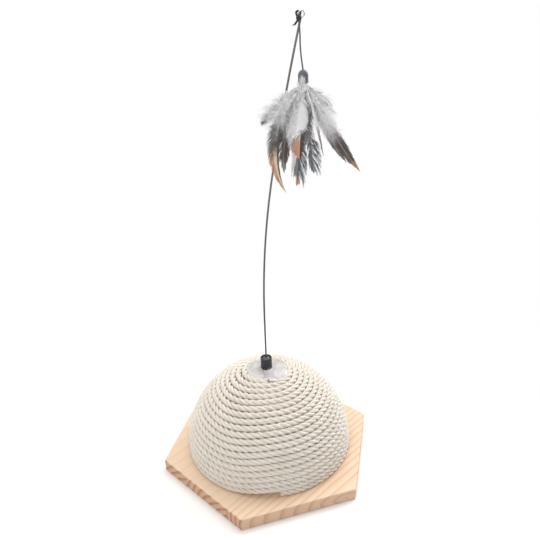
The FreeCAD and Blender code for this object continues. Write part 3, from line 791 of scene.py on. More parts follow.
one_hair = swept(hair, stem, stem_round, Scale=stem_width)
print("one hair", len(hair.tree.nodes), "nodes")

# %% Geometry tree: the hairs stand up
SHORTEST_HAIR = 0.45
LONGEST_HAIR = 1.15


def chance(nodes, low, high, seed):
    """A random number for each point."""
    return nodes.put("FunctionNodeRandomValue", {2: low, 3: high, "Seed": seed}, 1)


hair_seed = hair_in["Seed"]
hair_turn = hair.put("ShaderNodeCombineXYZ", {
    0: chance(hair, -1.0, 1.0, hair_seed) * hair_in["Lean"],
    1: chance(hair, -1.0, 1.0, hair_seed + 1.0) * hair_in["Lean"],
    2: chance(hair, 0.0, math.tau, hair_seed + 2.0)})
spread = hair.add("GeometryNodeDistributePointsOnFaces", {
    "Mesh": hair_in["Geometry"], "Density": hair_in["Hairs per square metre"], "Seed": hair_seed})
standing = hair.put("FunctionNodeRotateRotation", {
    0: hair.out(spread, "Rotation"), 1: hair.put("FunctionNodeEulerToRotation", {0: hair_turn})},
    rotation_space="LOCAL")
hairs = hair.put("GeometryNodeInstanceOnPoints", {
    "Points": hair.out(spread, "Points"), "Instance": one_hair, "Rotation": standing,
    "Scale": hair_in["Length"] * chance(hair, SHORTEST_HAIR, LONGEST_HAIR, hair_seed + 3.0)})
hair_join = hair.add("GeometryNodeJoinGeometry", {0: finished(hair, hairs, hair_in["Material"])})
hair.feed(hair_join, {0: hair.put(
    "GeometryNodeSwitch", {0: hair_in["Keep surface"], 2: hair_in["Geometry"]},
    input_type="GEOMETRY")})
hair.feed(hair_out, {0: hair.out(hair_join)})
print("hair tree", len(hair.tree.nodes), "nodes")

# %% Hairs on the rope
# Two of the three strands carry hairs, which is fuzz enough, because both come up in every lay.
for number in (1, 2):
    fuzz_name = "rope_hairs_%d" % number
    fuzz = grown(fuzz_name, rope_meshes[number - 1].copy(), hair, hairs_per_square_metre=85000.0,
                 length=2.2 * MM, thickness=0.07 * MM, lean=1.35, seed=10 + number,
                 keep_surface=False, material=cotton)
    piece(fuzz_name, fuzz, "base", "cotton_rope", "rope_winding")

# %% [markdown]
# ## Crown pad
# A soft plush disc fills the opening at the crown, round the socket. It could be sculpted, but creases
# come out best when cloth makes them. So it starts as a lathe-turned ring a little smaller than its
# room, and cloth with air pressure and a little spare fabric puffs it up. Its underside is held, as if
# glued.

# %% Plush material
plush, plush_nodes, plush_finish = new_material("plush", {
    "Roughness": 0.95, "Specular IOR Level": 0.1, "Sheen Weight": 0.3})
plush_place = plush_nodes.place()
smudge = plush_nodes.ramp(plush_nodes.clouds(plush_place, scale=130.0, detail=5.0), 0.30, 0.62)
nap = plush_nodes.clouds(plush_place, scale=1900.0, detail=3.0)
plush_shade = plush_nodes.blend(smudge, colour(214, 209, 208), colour(246, 244, 243))
plush_shade = plush_nodes.blend(nap * 0.30, plush_shade, colour(222, 220, 218))
plush_nodes.feed(plush_finish, {
    "Base Color": plush_shade, "Normal": plush_nodes.dented(nap, depth=0.25 * MM, strength=0.8)})
print("plush", len(plush_nodes.tree.nodes), "nodes")

# %% Outline of the pad
LAST_CLIMB = FIRST_CLIMB + ROPE_SPACING * (ROPE_TURNS - 1)
PAD_CLEARANCE = 2.75
PAD_RADIUS = float(dome_place(LAST_CLIMB)[0]) - PAD_CLEARANCE
PAD_BORE = 5.5
PAD_NOTCH = 20.0


def pad_reach(angle):
    """The pad's edge at an angle in degrees: a circle that gives way to the rope's end in a notch."""
    sweep = climb_sweep(ROPE_TURNS - 1)
    climbed = smooth_step(((angle - WINDING_START) % 360.0 - 360.0) / sweep + 1, 0, 1)
    reach = dome_place(LAST_CLIMB + ROPE_SPACING * climbed)[0] - PAD_CLEARANCE
    past_end = ((angle - WINDING_START + sweep * (1 - TAIL_SHARE)) % 360.0) / PAD_NOTCH
    end_reach = float(dome_place(LAST_CLIMB + ROPE_SPACING)[0]) - PAD_CLEARANCE
    return end_reach + (PAD_RADIUS - end_reach) * past_end if past_end < 1 else float(reach)


def former_top(radius):
    """The height of the former's surface at a radius."""
    return DOME_CENTRE + np.sqrt(FORMER_RADIUS**2 - radius**2)


print("pad radius", round(PAD_RADIUS, 2), "mm")

# %% Profile of the pad
PAD_RINGS = 22
PAD_THICKNESS = 5.5
PAD_THINNER_AT_EDGE = 0.3
PAD_LIFT = 0.15
PAD_UNDERCUT = 0.8
# Past the pad's radius and above the former, from the foot of the edge to the lip over the rope.
PAD_EDGE = [(0, 1.8), (0, 3.6), (0.9, 4.7), (0.6, 5.2)]


def pad_profile():
    """Radii and heights: the underside from the bore out, the edge, and the top back in."""
    under = np.linspace(PAD_BORE, PAD_RADIUS - PAD_UNDERCUT, PAD_RINGS)
    share = (under - PAD_BORE) / (PAD_RADIUS - PAD_BORE)
    thick = PAD_THICKNESS - PAD_THINNER_AT_EDGE * share**3
    lower = [(r, former_top(r) + PAD_LIFT) for r in under]
    edge = [(PAD_RADIUS + past, former_top(PAD_RADIUS) + above) for past, above in PAD_EDGE]
    upper = [(r, former_top(r) + t) for r, t in zip(under[::-1], thick[::-1])]
    return lower + edge + upper


print("pad profile", len(pad_profile()), "points")

# %% Pad before it is puffed up
PAD_SECTORS = 140


def pad_blank():
    """The profile turned to a closed ring, and the points that are held."""
    profile = pad_profile()
    n = len(profile)
    points = []
    for a in np.arange(PAD_SECTORS) * math.tau / PAD_SECTORS:
        squeeze = (pad_reach(math.degrees(a)) - PAD_BORE) / (PAD_RADIUS - PAD_BORE)
        for r, z in profile:
            reach = PAD_BORE + (r - PAD_BORE) * squeeze
            points.append((reach * math.cos(a) * MM, reach * math.sin(a) * MM, z * MM))
    faces = []
    for i in range(PAD_SECTORS):
        row, next_row = i * n, (i + 1) % PAD_SECTORS * n
        faces += [(row + j, next_row + j, next_row + (j + 1) % n, row + (j + 1) % n) for j in range(n)]
    mesh = bpy.data.meshes.new("pad_blank")
    mesh.from_pydata(points, [], faces)
    shape = bmesh.new()
    shape.from_mesh(mesh)
    bmesh.ops.recalc_face_normals(shape, faces=shape.faces)
    shape.to_mesh(mesh)
    shape.free()
    held = [i for i in range(len(points)) if i % n < PAD_RINGS or i % n == n - 1]
    return mesh, held


pad_mesh, pad_held = pad_blank()
print("pad blank", len(pad_mesh.polygons), "faces,", len(pad_held), "points held")

# %% Puff up the pad
PUFF_STEPS = 20
PUFF_MOST = 1.3 * MM
pad_cloth = dict(quality=8, mass=0.05, tension_stiffness=12, compression_stiffness=12,
                 bending_stiffness=0.02, use_pressure=True, uniform_pressure_force=4.0,
                 shrink_min=-0.10, vertex_group_mass="held")


def puffed(mesh, held, cap):
    """The mesh after a short cloth run, with no point moved further than the cap."""
    before = np.array([v.co for v in mesh.vertices])
    cushion = shown("pad_cloth", mesh)
    cushion.vertex_groups.new(name="held").add(held, 1.0, "REPLACE")
    cloth = cushion.modifiers.new("cloth", "CLOTH")
    for label, value in pad_cloth.items():
        setattr(cloth.settings, label, value)
    cloth.settings.effector_weights.gravity = 0
    cloth.point_cache.frame_end = PUFF_STEPS
    for step in range(1, PUFF_STEPS + 1):
        scene.frame_set(step)
    result = plain_mesh(cushion)
    scene.frame_set(1)
    bpy.data.objects.remove(cushion)
    moved = np.array([v.co for v in result.vertices]) - before
    reach = np.linalg.norm(moved, axis=1)
    moved *= np.minimum(1, cap / np.maximum(reach, 1e-9))[:, None]
    result.vertices.foreach_set("co", (before + moved).astype(np.float32).ravel())
    print("pad moved up to", round(float(reach.max()) / MM, 2), "mm before the cap")
    return result


pad_mesh = puffed(pad_mesh, pad_held, PUFF_MOST)

# %% Pad with its plush
DIMPLE_DEPTH = 0.45 * MM
WIDE_DIMPLES = 210.0
SMALL_DIMPLES = 480.0
FACES_UP = 0.2
for point in pad_mesh.vertices:
    dimple = noise.noise(point.co * WIDE_DIMPLES) + 0.5 * noise.noise(point.co * SMALL_DIMPLES)
    if point.normal.z > FACES_UP:
        point.co += point.normal * dimple * DIMPLE_DEPTH
pad_mesh.materials.append(plush)
for face in pad_mesh.polygons:
    face.use_smooth = True
wisps = grown("crown_pad_wisps", pad_mesh.copy(), hair, hairs_per_square_metre=620000.0,
              length=4.2 * MM, thickness=0.16 * MM, lean=1.5, seed=23, keep_surface=False,
              material=plush)
pad_mesh = grown("crown_pad_plush", pad_mesh, hair, hairs_per_square_metre=2900000.0,
                 length=2.7 * MM, thickness=0.13 * MM, lean=1.25, seed=5, keep_surface=True,
                 material=plush)
pad = piece("crown_pad_plush", pad_mesh, "base", "plush", "crown_pad")
piece("crown_pad_wisps", wisps, "base", "plush", "crown_pad")

# %% [markdown]
# ## Rubber plug
# The wire stands in a soft plug, and leans in it as the teaser sways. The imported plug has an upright
# bore, and a leaning wire would leave that bore empty. Real rubber stays tight round the wire, so the
# plug is turned here as a closed shape, with the same outline.

# %% Plug
PLUG_SHOULDER_BELOW_RIM = 2.6 * MM
PLUG_CROWN_ABOVE_RIM = 0.8 * MM
PLUG_SECTORS = 64
PLUG_CROWN_STEPS = 14


def lathe_turned(name, profile, sectors):
    """A closed round shape, from radii and heights that start and end on the axis."""
    shape = bmesh.new()
    corners = [shape.verts.new((r, 0, z)) for r, z in profile]
    sides = [shape.edges.new(pair) for pair in zip(corners, corners[1:])]
    bmesh.ops.spin(shape, geom=corners + sides, axis=(0, 0, 1), cent=(0, 0, 0), angle=math.tau,
                   steps=sectors)
    bmesh.ops.remove_doubles(shape, verts=shape.verts, dist=0.01 * MM)
    bmesh.ops.recalc_face_normals(shape, faces=shape.faces)
    mesh = bpy.data.meshes.new(name)
    shape.to_mesh(mesh)
    shape.free()
    for face in mesh.polygons:
        face.use_smooth = True
    return mesh


plug_low, plug_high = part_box("wire_plug")
cup_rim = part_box("socket_cup")[1][2]
plug_radius = (plug_high[0] - plug_low[0]) / 2
plug_rise = PLUG_SHOULDER_BELOW_RIM + PLUG_CROWN_ABOVE_RIM
crown_radius = (plug_radius**2 + plug_rise**2) / (2 * plug_rise)
crown_centre = cup_rim + PLUG_CROWN_ABOVE_RIM - crown_radius
crown_arc = np.linspace(math.asin(plug_radius / crown_radius), 0, PLUG_CROWN_STEPS)
plug_profile = [(0, plug_low[2]), (plug_radius, plug_low[2])]
plug_profile += [(crown_radius * math.sin(a), crown_centre + crown_radius * math.cos(a))
                 for a in crown_arc]
plug_mesh = lathe_turned("plug_rubber", plug_profile, PLUG_SECTORS)
plug_mesh.materials.append(hard_finishes["wire_plug"])
piece("plug_rubber", plug_mesh, "base", "grey_rubber", "wire_plug")

# %% [markdown]
# ## Teaser cord
# A thin black cord is tied through the wire's eye and hangs down into the feathers' cap. One smooth
# tube would look like wire, so three strands are laid, as for the rope, along points that are read
# from a smooth spline that follows its route. The loop and the knot are the same cord, too short to
# hang freely, and stay with the loop.

# %% Places and splines at the teaser
EYE = Vector((22.842, -39.564, 389.305))
TEASER_TURN = math.radians(-16.0)
NEARLY_ALONG = 0.2
teaser_right = Vector((math.cos(TEASER_TURN), math.sin(TEASER_TURN), 0))
teaser_back = Vector((-math.sin(TEASER_TURN), math.cos(TEASER_TURN), 0))


def at_teaser(x, y, z):
    """A place right, back and up from the eye's centre, in metres."""
    return (EYE + teaser_right * x + teaser_back * y + Vector((0, 0, z))) * MM


def spline_points(name, places, fineness=14):
    """Points read from a smooth spline whose control points are these places."""
    curve = bpy.data.curves.new(name, "CURVE")
    curve.dimensions = "3D"
    spline = curve.splines.new("NURBS")
    spline.points.add(len(places) - 1)
    for point, control in zip(spline.points, places):
        point.co = (*control, 1)
    spline.order_u = 3
    spline.use_endpoint_u = True
    spline.resolution_u = fineness
    line = shown(name, curve)
    points = [v.co.copy() for v in plain_mesh(line).vertices]
    bpy.data.objects.remove(line)
    return points


def across(points):
    """At each point, one direction square to the path."""
    ways = []
    for i in range(len(points)):
        way = (points[min(i + 1, len(points) - 1)] - points[max(i - 1, 0)]).normalized()
        side = way.cross(teaser_back)
        if side.length < NEARLY_ALONG:
            side = way.cross(teaser_right)
        ways.append(tuple(side.normalized()))
    return ways


print("eye at", [round(c, 4) for c in EYE * MM])

# %% Cord
CORD_LAY = 3.2 * MM
STRAND_OFFSET = 0.28 * MM
STRAND_RADIUS = 0.29 * MM
cord_route = [(-1.9, -2.3, -4.3), (-1.2, -2.5, -11.5), (-1.25, -2.3, -19.0), (-0.5, -1.9, -27.0),
              (0.75, -1.7, -35.2)]


def joined(name, meshes, material):
    """Several meshes as one."""
    whole = bmesh.new()
    for mesh in meshes:
        whole.from_mesh(mesh)
    result = bpy.data.meshes.new(name)
    whole.to_mesh(result)
    whole.free()
    result.materials.append(material)
    return result


def laid_cord(name, points, material, thickness=1.0):
    """Three thin strands along a path, as one mesh."""
    strands = [grown(name, chain(name, points, outward=across(points)), strand, strand=number,
                     strands=3, offset=STRAND_OFFSET * thickness, radius=STRAND_RADIUS * thickness,
                     lay_length=CORD_LAY, sides=8, material=material) for number in range(3)]
    return joined(name, strands, material)


cord_points = spline_points("cord_line", [at_teaser(*p) for p in cord_route], fineness=40)
cord_length = sum((b - a).length for a, b in zip(cord_points, cord_points[1:]))
cord_mesh = laid_cord("teaser_cord", cord_points, black_cord)
cord = piece("teaser_cord", cord_mesh, "cord", "black_cord", "cord")
print("cord length", round(cord_length / MM, 1), "mm")

# %% Path of the loop
LOOP_LEAN = math.radians(48.0)
LOOP_RADIUS = 1.5
LEG_SPLAY = math.radians(14.0)
LEG_LENGTH = 3.6
loop_hook = Vector((-2.0, 0, 0))
loop_ahead = Vector((0, math.cos(LOOP_LEAN), math.sin(LOOP_LEAN)))
leg_top = LOOP_RADIUS / 3 - LOOP_RADIUS * math.sin(LEG_SPLAY)
leg_foot = leg_top - LEG_LENGTH * math.cos(LEG_SPLAY)
top_side = LOOP_RADIUS * math.cos(LEG_SPLAY)
foot_side = top_side - LEG_LENGTH * math.sin(LEG_SPLAY)
knot_centre = loop_hook + loop_ahead * leg_foot
# Sideways and ahead from the hook: up one leg, round the bend, and down the other.
loop_places = [(-foot_side, leg_foot), (-top_side, leg_top), (-LOOP_RADIUS, LOOP_RADIUS * 1.15),
               (0, LOOP_RADIUS * 1.6), (LOOP_RADIUS, LOOP_RADIUS * 1.15), (top_side, leg_top),
               (foot_side, leg_foot)]
loop_route = [at_teaser(*(loop_hook + Vector((side, 0, 0)) + loop_ahead * ahead))
              for side, ahead in loop_places]
print("loop of", len(loop_route), "control points")

# %% Paths of the knot and its tail
WRAP_STEPS = 14
WRAP_CLIMB = 1.2 * MM


def wrap_route(tip_right, tip_back, radius, turns):
    """A few tight turns of cord round the knot's centre, on a tipped axis."""
    axis = (teaser_right * tip_right + teaser_back * tip_back + Vector((0, 0, 1))).normalized()
    first = axis.orthogonal().normalized()
    second = axis.cross(first)
    count = int(WRAP_STEPS * turns)
    route = []
    for i in range(count + 1):
        angle = math.tau * i / WRAP_STEPS
        ring_way = first * math.cos(angle) + second * math.sin(angle)
        climb = axis * (i / count - 0.5) * WRAP_CLIMB
        route.append(at_teaser(*knot_centre) + ring_way * radius * MM + climb)
    return route


tail_way = Vector((-0.55, -0.15, -1.0)).normalized()
tail_side = Vector((-0.8, -0.2, 0.25))
tail_route = [at_teaser(*(knot_centre + tail_way * down + tail_side * aside))
              for down, aside in ((0, 0), (1.6, 0.0), (3.0, 0.1), (4.6, 0.5))]
knot_paths = {
    "loop": spline_points("loop_line", loop_route),
    "wrap_low": spline_points("wrap_low", wrap_route(0.5, 0.0, 1.15, 3.2)),
    "wrap_high": spline_points("wrap_high", wrap_route(-0.9, 1.2, 1.10, 2.4)),
    "wrap_cross": spline_points("wrap_cross", wrap_route(1.6, -0.8, 1.05, 1.6)),
    "tail": spline_points("tail_line", tail_route),
}
print("knot of", len(knot_paths), "lengths of cord")

# %% Loop, knot and frayed tail
KNOT_THICKNESS = 1.3
FRAYED_THREADS = 9
THREAD_RADIUS = 0.09 * MM
fray = random.Random(4)
tail_end = knot_paths["tail"][-1]
tail_before = knot_paths["tail"][-4]


def frayed_thread():
    """One loose thread at the tail's end."""
    sway = Vector((fray.uniform(-1.6, 0.1), fray.uniform(-0.7, 0.7), fray.uniform(-1.0, 0.5)))
    stray = sway + Vector((fray.uniform(-0.9, 0), 0, fray.uniform(-0.5, 0.2)))
    points = spline_points("fray", [tail_end - (tail_end - tail_before) * 0.5, tail_end,
                                    tail_end + sway * 0.6 * MM, tail_end + stray * MM])
    return grown("fray", chain("fray", points, outward=across(points)), strand, strand=0, strands=1,
                 offset=0.0, radius=THREAD_RADIUS, lay_length=CORD_LAY, sides=4, material=knot_shaded_cord)


# The knot and its frayed threads take the darker copy of the cord's finish, as painted shade.
knot_meshes = [laid_cord("knot_" + label, points, knot_shaded_cord, KNOT_THICKNESS)
               for label, points in knot_paths.items()]
knot_meshes += [frayed_thread() for number in range(FRAYED_THREADS)]
knot_mesh = joined("teaser_knot", knot_meshes, knot_shaded_cord)
piece("teaser_knot", knot_mesh, "loop", "black_cord", "cord_loop")

# %% [markdown]
# ## Feathers
# A feather is a quill with hundreds of barbs on each side: loose white down near the root, and a firm
# coloured vane towards the tip. A cut-out sheet would have a hard edge, so every barb is made. The
# tree stands barbs along the quill as thin curves, bends them to the tip, ruffles the downy ones,
# draws neighbours together so that the vane splits, and gives them sides. It has three rows: one on
# each hand, and one all round the quill where the feather is downy.

# %% Geometry tree: quill and one barb
BARB_BOW = 0.22
QUILL_TAPER = -0.85
plume, plume_in, plume_out = new_group(
    "GeometryNodeTree", "plume",
    [("Geometry", "Geometry", None), ("Barbs", "Int", 200), ("Down barbs", "Int", 200),
     ("Barb thickness", "Float", 0.0003), ("Quill radius", "Float", 0.0003),
     ("Flutter", "Float", 0.002), ("Splits", "Float", 0.3), ("Other hand width", "Float", 1.0),
     ("Seed", "Int", 1), ("Material", "Material", None)],
    [("Geometry", "Geometry")])
quill_curve = plume.put("GeometryNodeMeshToCurve", {0: plume_in["Geometry"]})
quill_round = plume.put("GeometryNodeCurvePrimitiveCircle", {"Resolution": 6, "Radius": 1.0})
quill_width = plume_in["Quill radius"] * (fact(plume, "share") * QUILL_TAPER + 1.0)
quill_solid = swept(plume, quill_curve, quill_round, Scale=quill_width)
barb_line = plume.put("GeometryNodeCurvePrimitiveLine", {"End": (1, 0, 0)})
barb_line = plume.put("GeometryNodeResampleCurve", {0: barb_line, "Count": 6})
barb_bow = plume.put("GeometryNodeSplineParameter", socket="Factor") ** 2.0 * BARB_BOW
barb_line = plume.put("GeometryNodeSetPosition", {
    0: barb_line, "Offset": plume.put("ShaderNodeCombineXYZ", {1: barb_bow})})
print("one barb", len(plume.tree.nodes), "nodes")

# %% Geometry tree: a row of barbs
DOWNY_FROM = 0.3
DOWN_ROLL = 0.9
DOWN_UNEVEN_TILT = 0.40
VANE_UNEVEN_TILT = 0.05
DOWN_UNEVEN_LENGTH = 0.28
VANE_UNEVEN_LENGTH = 0.07


def turned_way(ahead, aside, angle):
    """The first direction, turned towards the second by an angle."""
    return plume.vector("ADD", plume.scaled(aside, plume.calc("SINE", angle)),
                        plume.scaled(ahead, plume.calc("COSINE", angle)))


def barb_row(shift, hand, all_round):
    """Barbs that stand along the quill, each with its own lean, roll, length and tone."""
    stand = plume.add("GeometryNodeCurveToPoints", {
        0: quill_curve, "Count": plume_in["Down barbs" if all_round else "Barbs"]}, mode="COUNT")
    own = [chance(plume, -1.0, 1.0, plume_in["Seed"] + float(shift + n)) for n in range(4)]
    downy = fact(plume, "fluff")
    roll = own[0] * (math.pi if all_round else downy * DOWN_ROLL)
    uneven_tilt = downy * DOWN_UNEVEN_TILT + VANE_UNEVEN_TILT
    tilt = fact(plume, "lean") + own[1] * uneven_tilt
    aside = plume.vector(
        "ADD", plume.scaled(fact(plume, "side", "FLOAT_VECTOR"), plume.calc("COSINE", roll) * hand),
        plume.scaled(fact(plume, "face", "FLOAT_VECTOR"), plume.calc("SINE", roll)))
    tipward = plume.out(stand, "Tangent")
    turn = plume.put("FunctionNodeAxesToRotation", {0: turned_way(tipward, aside, tilt), 1: tipward},
                     primary_axis="X", secondary_axis="Y")
    uneven_length = downy * DOWN_UNEVEN_LENGTH + VANE_UNEVEN_LENGTH
    length = fact(plume, "reach") * (own[2] * uneven_length + 1.0)
    roots = noted(plume, plume.out(stand, "Points"), "tipward", tipward, "FLOAT_VECTOR")
    if all_round:
        firm = plume.put("FunctionNodeCompare", {0: downy, 1: DOWNY_FROM}, operation="LESS_THAN")
        roots = plume.put("GeometryNodeDeleteGeometry", {0: roots, 1: firm})
    else:
        length = length * ((plume_in["Other hand width"] - 1.0) * hand + 1.0)
    roots = noted(plume, roots, "barb_shade", own[3] * 0.5 + 0.5)
    roots = noted(plume, roots, "hand", hand)
    barbs = plume.put("GeometryNodeInstanceOnPoints", {
        "Points": roots, "Instance": barb_line, "Rotation": turn, "Scale": length})
    barbs = plume.put("GeometryNodeRealizeInstances", {0: barbs})
    return noted(plume, barbs, "barb_out", plume.put("GeometryNodeSplineParameter", socket="Factor"))


print("rows ready")

# %% Geometry tree: splits, ruffles and sides
SPLITS_PER_FEATHER = 13.0
SPLIT_SEED_STEP = 3.7
RUFFLES_PER_METRE = 210.0
VANE_RUFFLE = 0.08
DOWN_RUFFLE = 0.92
BARB_TAPER = -0.65
DOWN_THICKER = 0.25


def ruffled(barbs, shift):
    """Barbs drawn together in splits and ruffled where they are downy, as solids."""
    barb_out = fact(plume, "barb_out")
    downy = fact(plume, "fluff")
    along = fact(plume, "share") * SPLITS_PER_FEATHER + (
        plume_in["Seed"] * SPLIT_SEED_STEP + float(shift))
    wander = plume.put("ShaderNodeTexNoise", {"W": along, "Scale": 1.0, "Detail": 2.0},
                       noise_dimensions="1D")
    drawn = (wander - 0.5) * plume_in["Splits"] * barb_out * fact(plume, "reach") * 2.0
    drawn = plume.scaled(fact(plume, "tipward", "FLOAT_VECTOR"), drawn)
    ruffle = plume.clouds(plume.put("GeometryNodeInputPosition"), RUFFLES_PER_METRE, 2.0, "Color")
    ruffle = plume.vector("SUBTRACT", ruffle, (0.5, 0.5, 0.5))
    ruffle_share = downy * DOWN_RUFFLE + VANE_RUFFLE
    ruffle = plume.scaled(ruffle, barb_out * ruffle_share * plume_in["Flutter"])
    barbs = plume.put("GeometryNodeSetPosition", {
        0: barbs, "Offset": plume.vector("ADD", drawn, ruffle)})
    width_share = (barb_out * BARB_TAPER + 1.0) * (downy * DOWN_THICKER + 1.0)
    width = plume_in["Barb thickness"] * width_share
    three_sides = plume.put("GeometryNodeCurvePrimitiveCircle", {"Resolution": 3, "Radius": 0.5})
    return swept(plume, barbs, three_sides, Scale=width)


print("ruffles ready")

# %% Geometry tree: three rows and the quill
SEEDS_PER_ROW = 50
plume_join = plume.add("GeometryNodeJoinGeometry")
for number, (hand, all_round) in enumerate(((1.0, False), (-1.0, False), (1.0, True))):
    row_shift = SEEDS_PER_ROW * number
    plume.feed(plume_join, {0: ruffled(barb_row(row_shift, hand, all_round), row_shift)})
plume.feed(plume_join, {0: quill_solid})
plume.feed(plume_out, {0: finished(plume, plume.out(plume_join), plume_in["Material"])})
print("plume tree", len(plume.tree.nodes), "nodes")

# %% [markdown]
# ## Feather colours
# The down is white, the vane dark, and the tip often rust. The change follows the barbs, so it is
# drawn by how far along the quill a barb stands. The barbs on one hand may differ from those on the
# other, and a pale streak follows the quill. One group does this for every feather.

# %% Plumage group: down, vane, edge and tip
BARB_SLANT = 0.10
CLOUD_SHIFT = 0.14
OWN_SHIFT = 0.05
EDGE_FROM = 0.72
EDGE_STRENGTH = 0.55
plumage, plumage_in, plumage_out = new_group(
    "ShaderNodeTree", "plumage",
    [("Down", "Color", (0.8, 0.8, 0.8, 1)), ("Vane", "Color", (0.1, 0.1, 0.1, 1)),
     ("Tip", "Color", (0.4, 0.2, 0.1, 1)), ("Edge", "Color", (0.5, 0.5, 0.5, 1)),
     ("Other hand", "Color", (0.1, 0.1, 0.1, 1)), ("Vane from", "Float", 0.5),
     ("Tip from", "Float", 2.0), ("Other from", "Float", 2.0), ("Streak", "Float", 0.04),
     ("Streak from", "Float", 0.6), ("Streak colour", "Color", (0.4, 0.37, 0.35, 1)),
     ("Band", "Float", 0.0)],
    [("Colour", "Color")])
barb_end = plumage.attribute("barb_out")
barb_own = plumage.attribute("barb_shade")
plume_clouds = plumage.clouds(plumage.place(), scale=260.0, detail=3.0)
feather_place = plumage.attribute("share") + barb_end * BARB_SLANT
feather_place = feather_place + (plume_clouds - 0.5) * CLOUD_SHIFT + (barb_own - 0.5) * OWN_SHIFT
from_tip = feather_place - plumage_in["Tip from"]
in_vane = plumage.ramp(feather_place - plumage_in["Vane from"], -0.10, 0.10)
feather_shade = plumage.blend(in_vane, plumage_in["Down"], plumage_in["Vane"])
pale_edge = plumage.ramp(barb_end, EDGE_FROM, 1.0) * EDGE_STRENGTH
feather_shade = plumage.blend(pale_edge * in_vane, feather_shade, plumage_in["Edge"])
feather_shade = plumage.blend(plumage.ramp(from_tip, -0.05, 0.05), feather_shade, plumage_in["Tip"])
print("plumage group", len(plumage.tree.nodes), "nodes")

# %% Plumage group: band, other hand and streak
BAND_SHADE = colour(92, 80, 74)
OTHER_SLANT = 0.38
STREAK_STRENGTH = 0.8
BRIGHTEST_BARB = 1.07
BARB_DIMMING = -0.20
band = plumage.ramp(from_tip, -0.08, -0.04) * (1.0 - plumage.ramp(from_tip, -0.02, 0.01))
feather_shade = plumage.blend(band * plumage_in["Band"], feather_shade, BAND_SHADE)
from_other = feather_place + barb_end * OTHER_SLANT - plumage_in["Other from"]
on_hand = plumage.ramp(plumage.attribute("hand"), 0.1, 0.9)
on_other = on_hand * plumage.ramp(from_other, -0.08, 0.05)
feather_shade = plumage.blend(on_other, feather_shade, plumage_in["Other hand"])
by_quill = 1.0 - plumage.ramp(barb_end, plumage_in["Streak"] * 0.5, plumage_in["Streak"])
by_quill = by_quill * plumage.ramp(feather_place - plumage_in["Streak from"], -0.05, 0.05)
by_quill = by_quill * STREAK_STRENGTH
feather_shade = plumage.blend(by_quill, feather_shade, plumage_in["Streak colour"])
barb_tone = barb_own * BARB_DIMMING + BRIGHTEST_BARB
plumage.feed(plumage_out, {"Colour": plumage.scaled(feather_shade, barb_tone)})


def plumage_finish(name, **values):
    """A feather's finish, from the plumage group."""
    material, nodes, finish = new_material(name, {
        "Roughness": 0.62, "Specular IOR Level": 0.3, "Sheen Weight": 0.7})
    drawn = nodes.add("ShaderNodeGroup", {
        label.replace("_", " ").capitalize(): value for label, value in values.items()},
        node_tree=plumage.tree)
    nodes.feed(finish, {"Base Color": nodes.out(drawn, "Colour")})
    return material


print("plumage group", len(plumage.tree.nodes), "nodes")

# %% [markdown]
# ## Blades and looks
# Each feather follows the spine of its packed blade: a quill that leaves the cap at one lean and ends
# at another, bending evenly between. The first table gives the blades. The second gives the shape of
# the down and the vane, and the third the colours and where they start along the quill. Tables keep
# all thirteen side by side, so that one feather can be changed without touching the rest.

# %% Blades
CAP_MOUTH = np.array((23.095, -41.405, 346.255))
QUILL_SHOW = 1.0
QUILL_WIDTH = 0.62
ROLL_DONE_AT = 0.3
# Direction, splay at quill and tip, and roll, in degrees; length, width and circle of quills in mm.
blades = {
    "feather_left_fluff": (184, 56, 38, 74, 38, 13, 2.3),
    "feather_left_long": (206, 50, -30, 52, 81, 10, 2.3),
    "feather_left_dark": (214, 36, -4, 36, 62, 11, 1.0),
    "feather_front_white": (256, 26, 8, 6, 50, 13, 2.3),
    "feather_front_thin": (244, 16, 24, 24, 62, 4, 1.9),
    "feather_middle_long": (196, 3, 6, 40, 70, 9, 0.5),
    "feather_middle_short": (326, 6, 5, -14, 60, 8, 0.9),
    "feather_right_spike": (304, 29, 18, -25, 49, 3, 2.2),
    "feather_right_long": (338, 27, 41, -55, 70, 11, 2.3),
    "feather_right_second": (4, 22, 35, -62, 63, 9, 1.6),
    "feather_right_fluff": (14, 58, 36, -60, 28, 11, 2.3),
    "feather_back_right": (40, 44, 34, 35, 55, 9, 2.3),
    "feather_back": (95, 18, 8, 0, 56, 9, 1.8),
}
print("blades", len(blades))

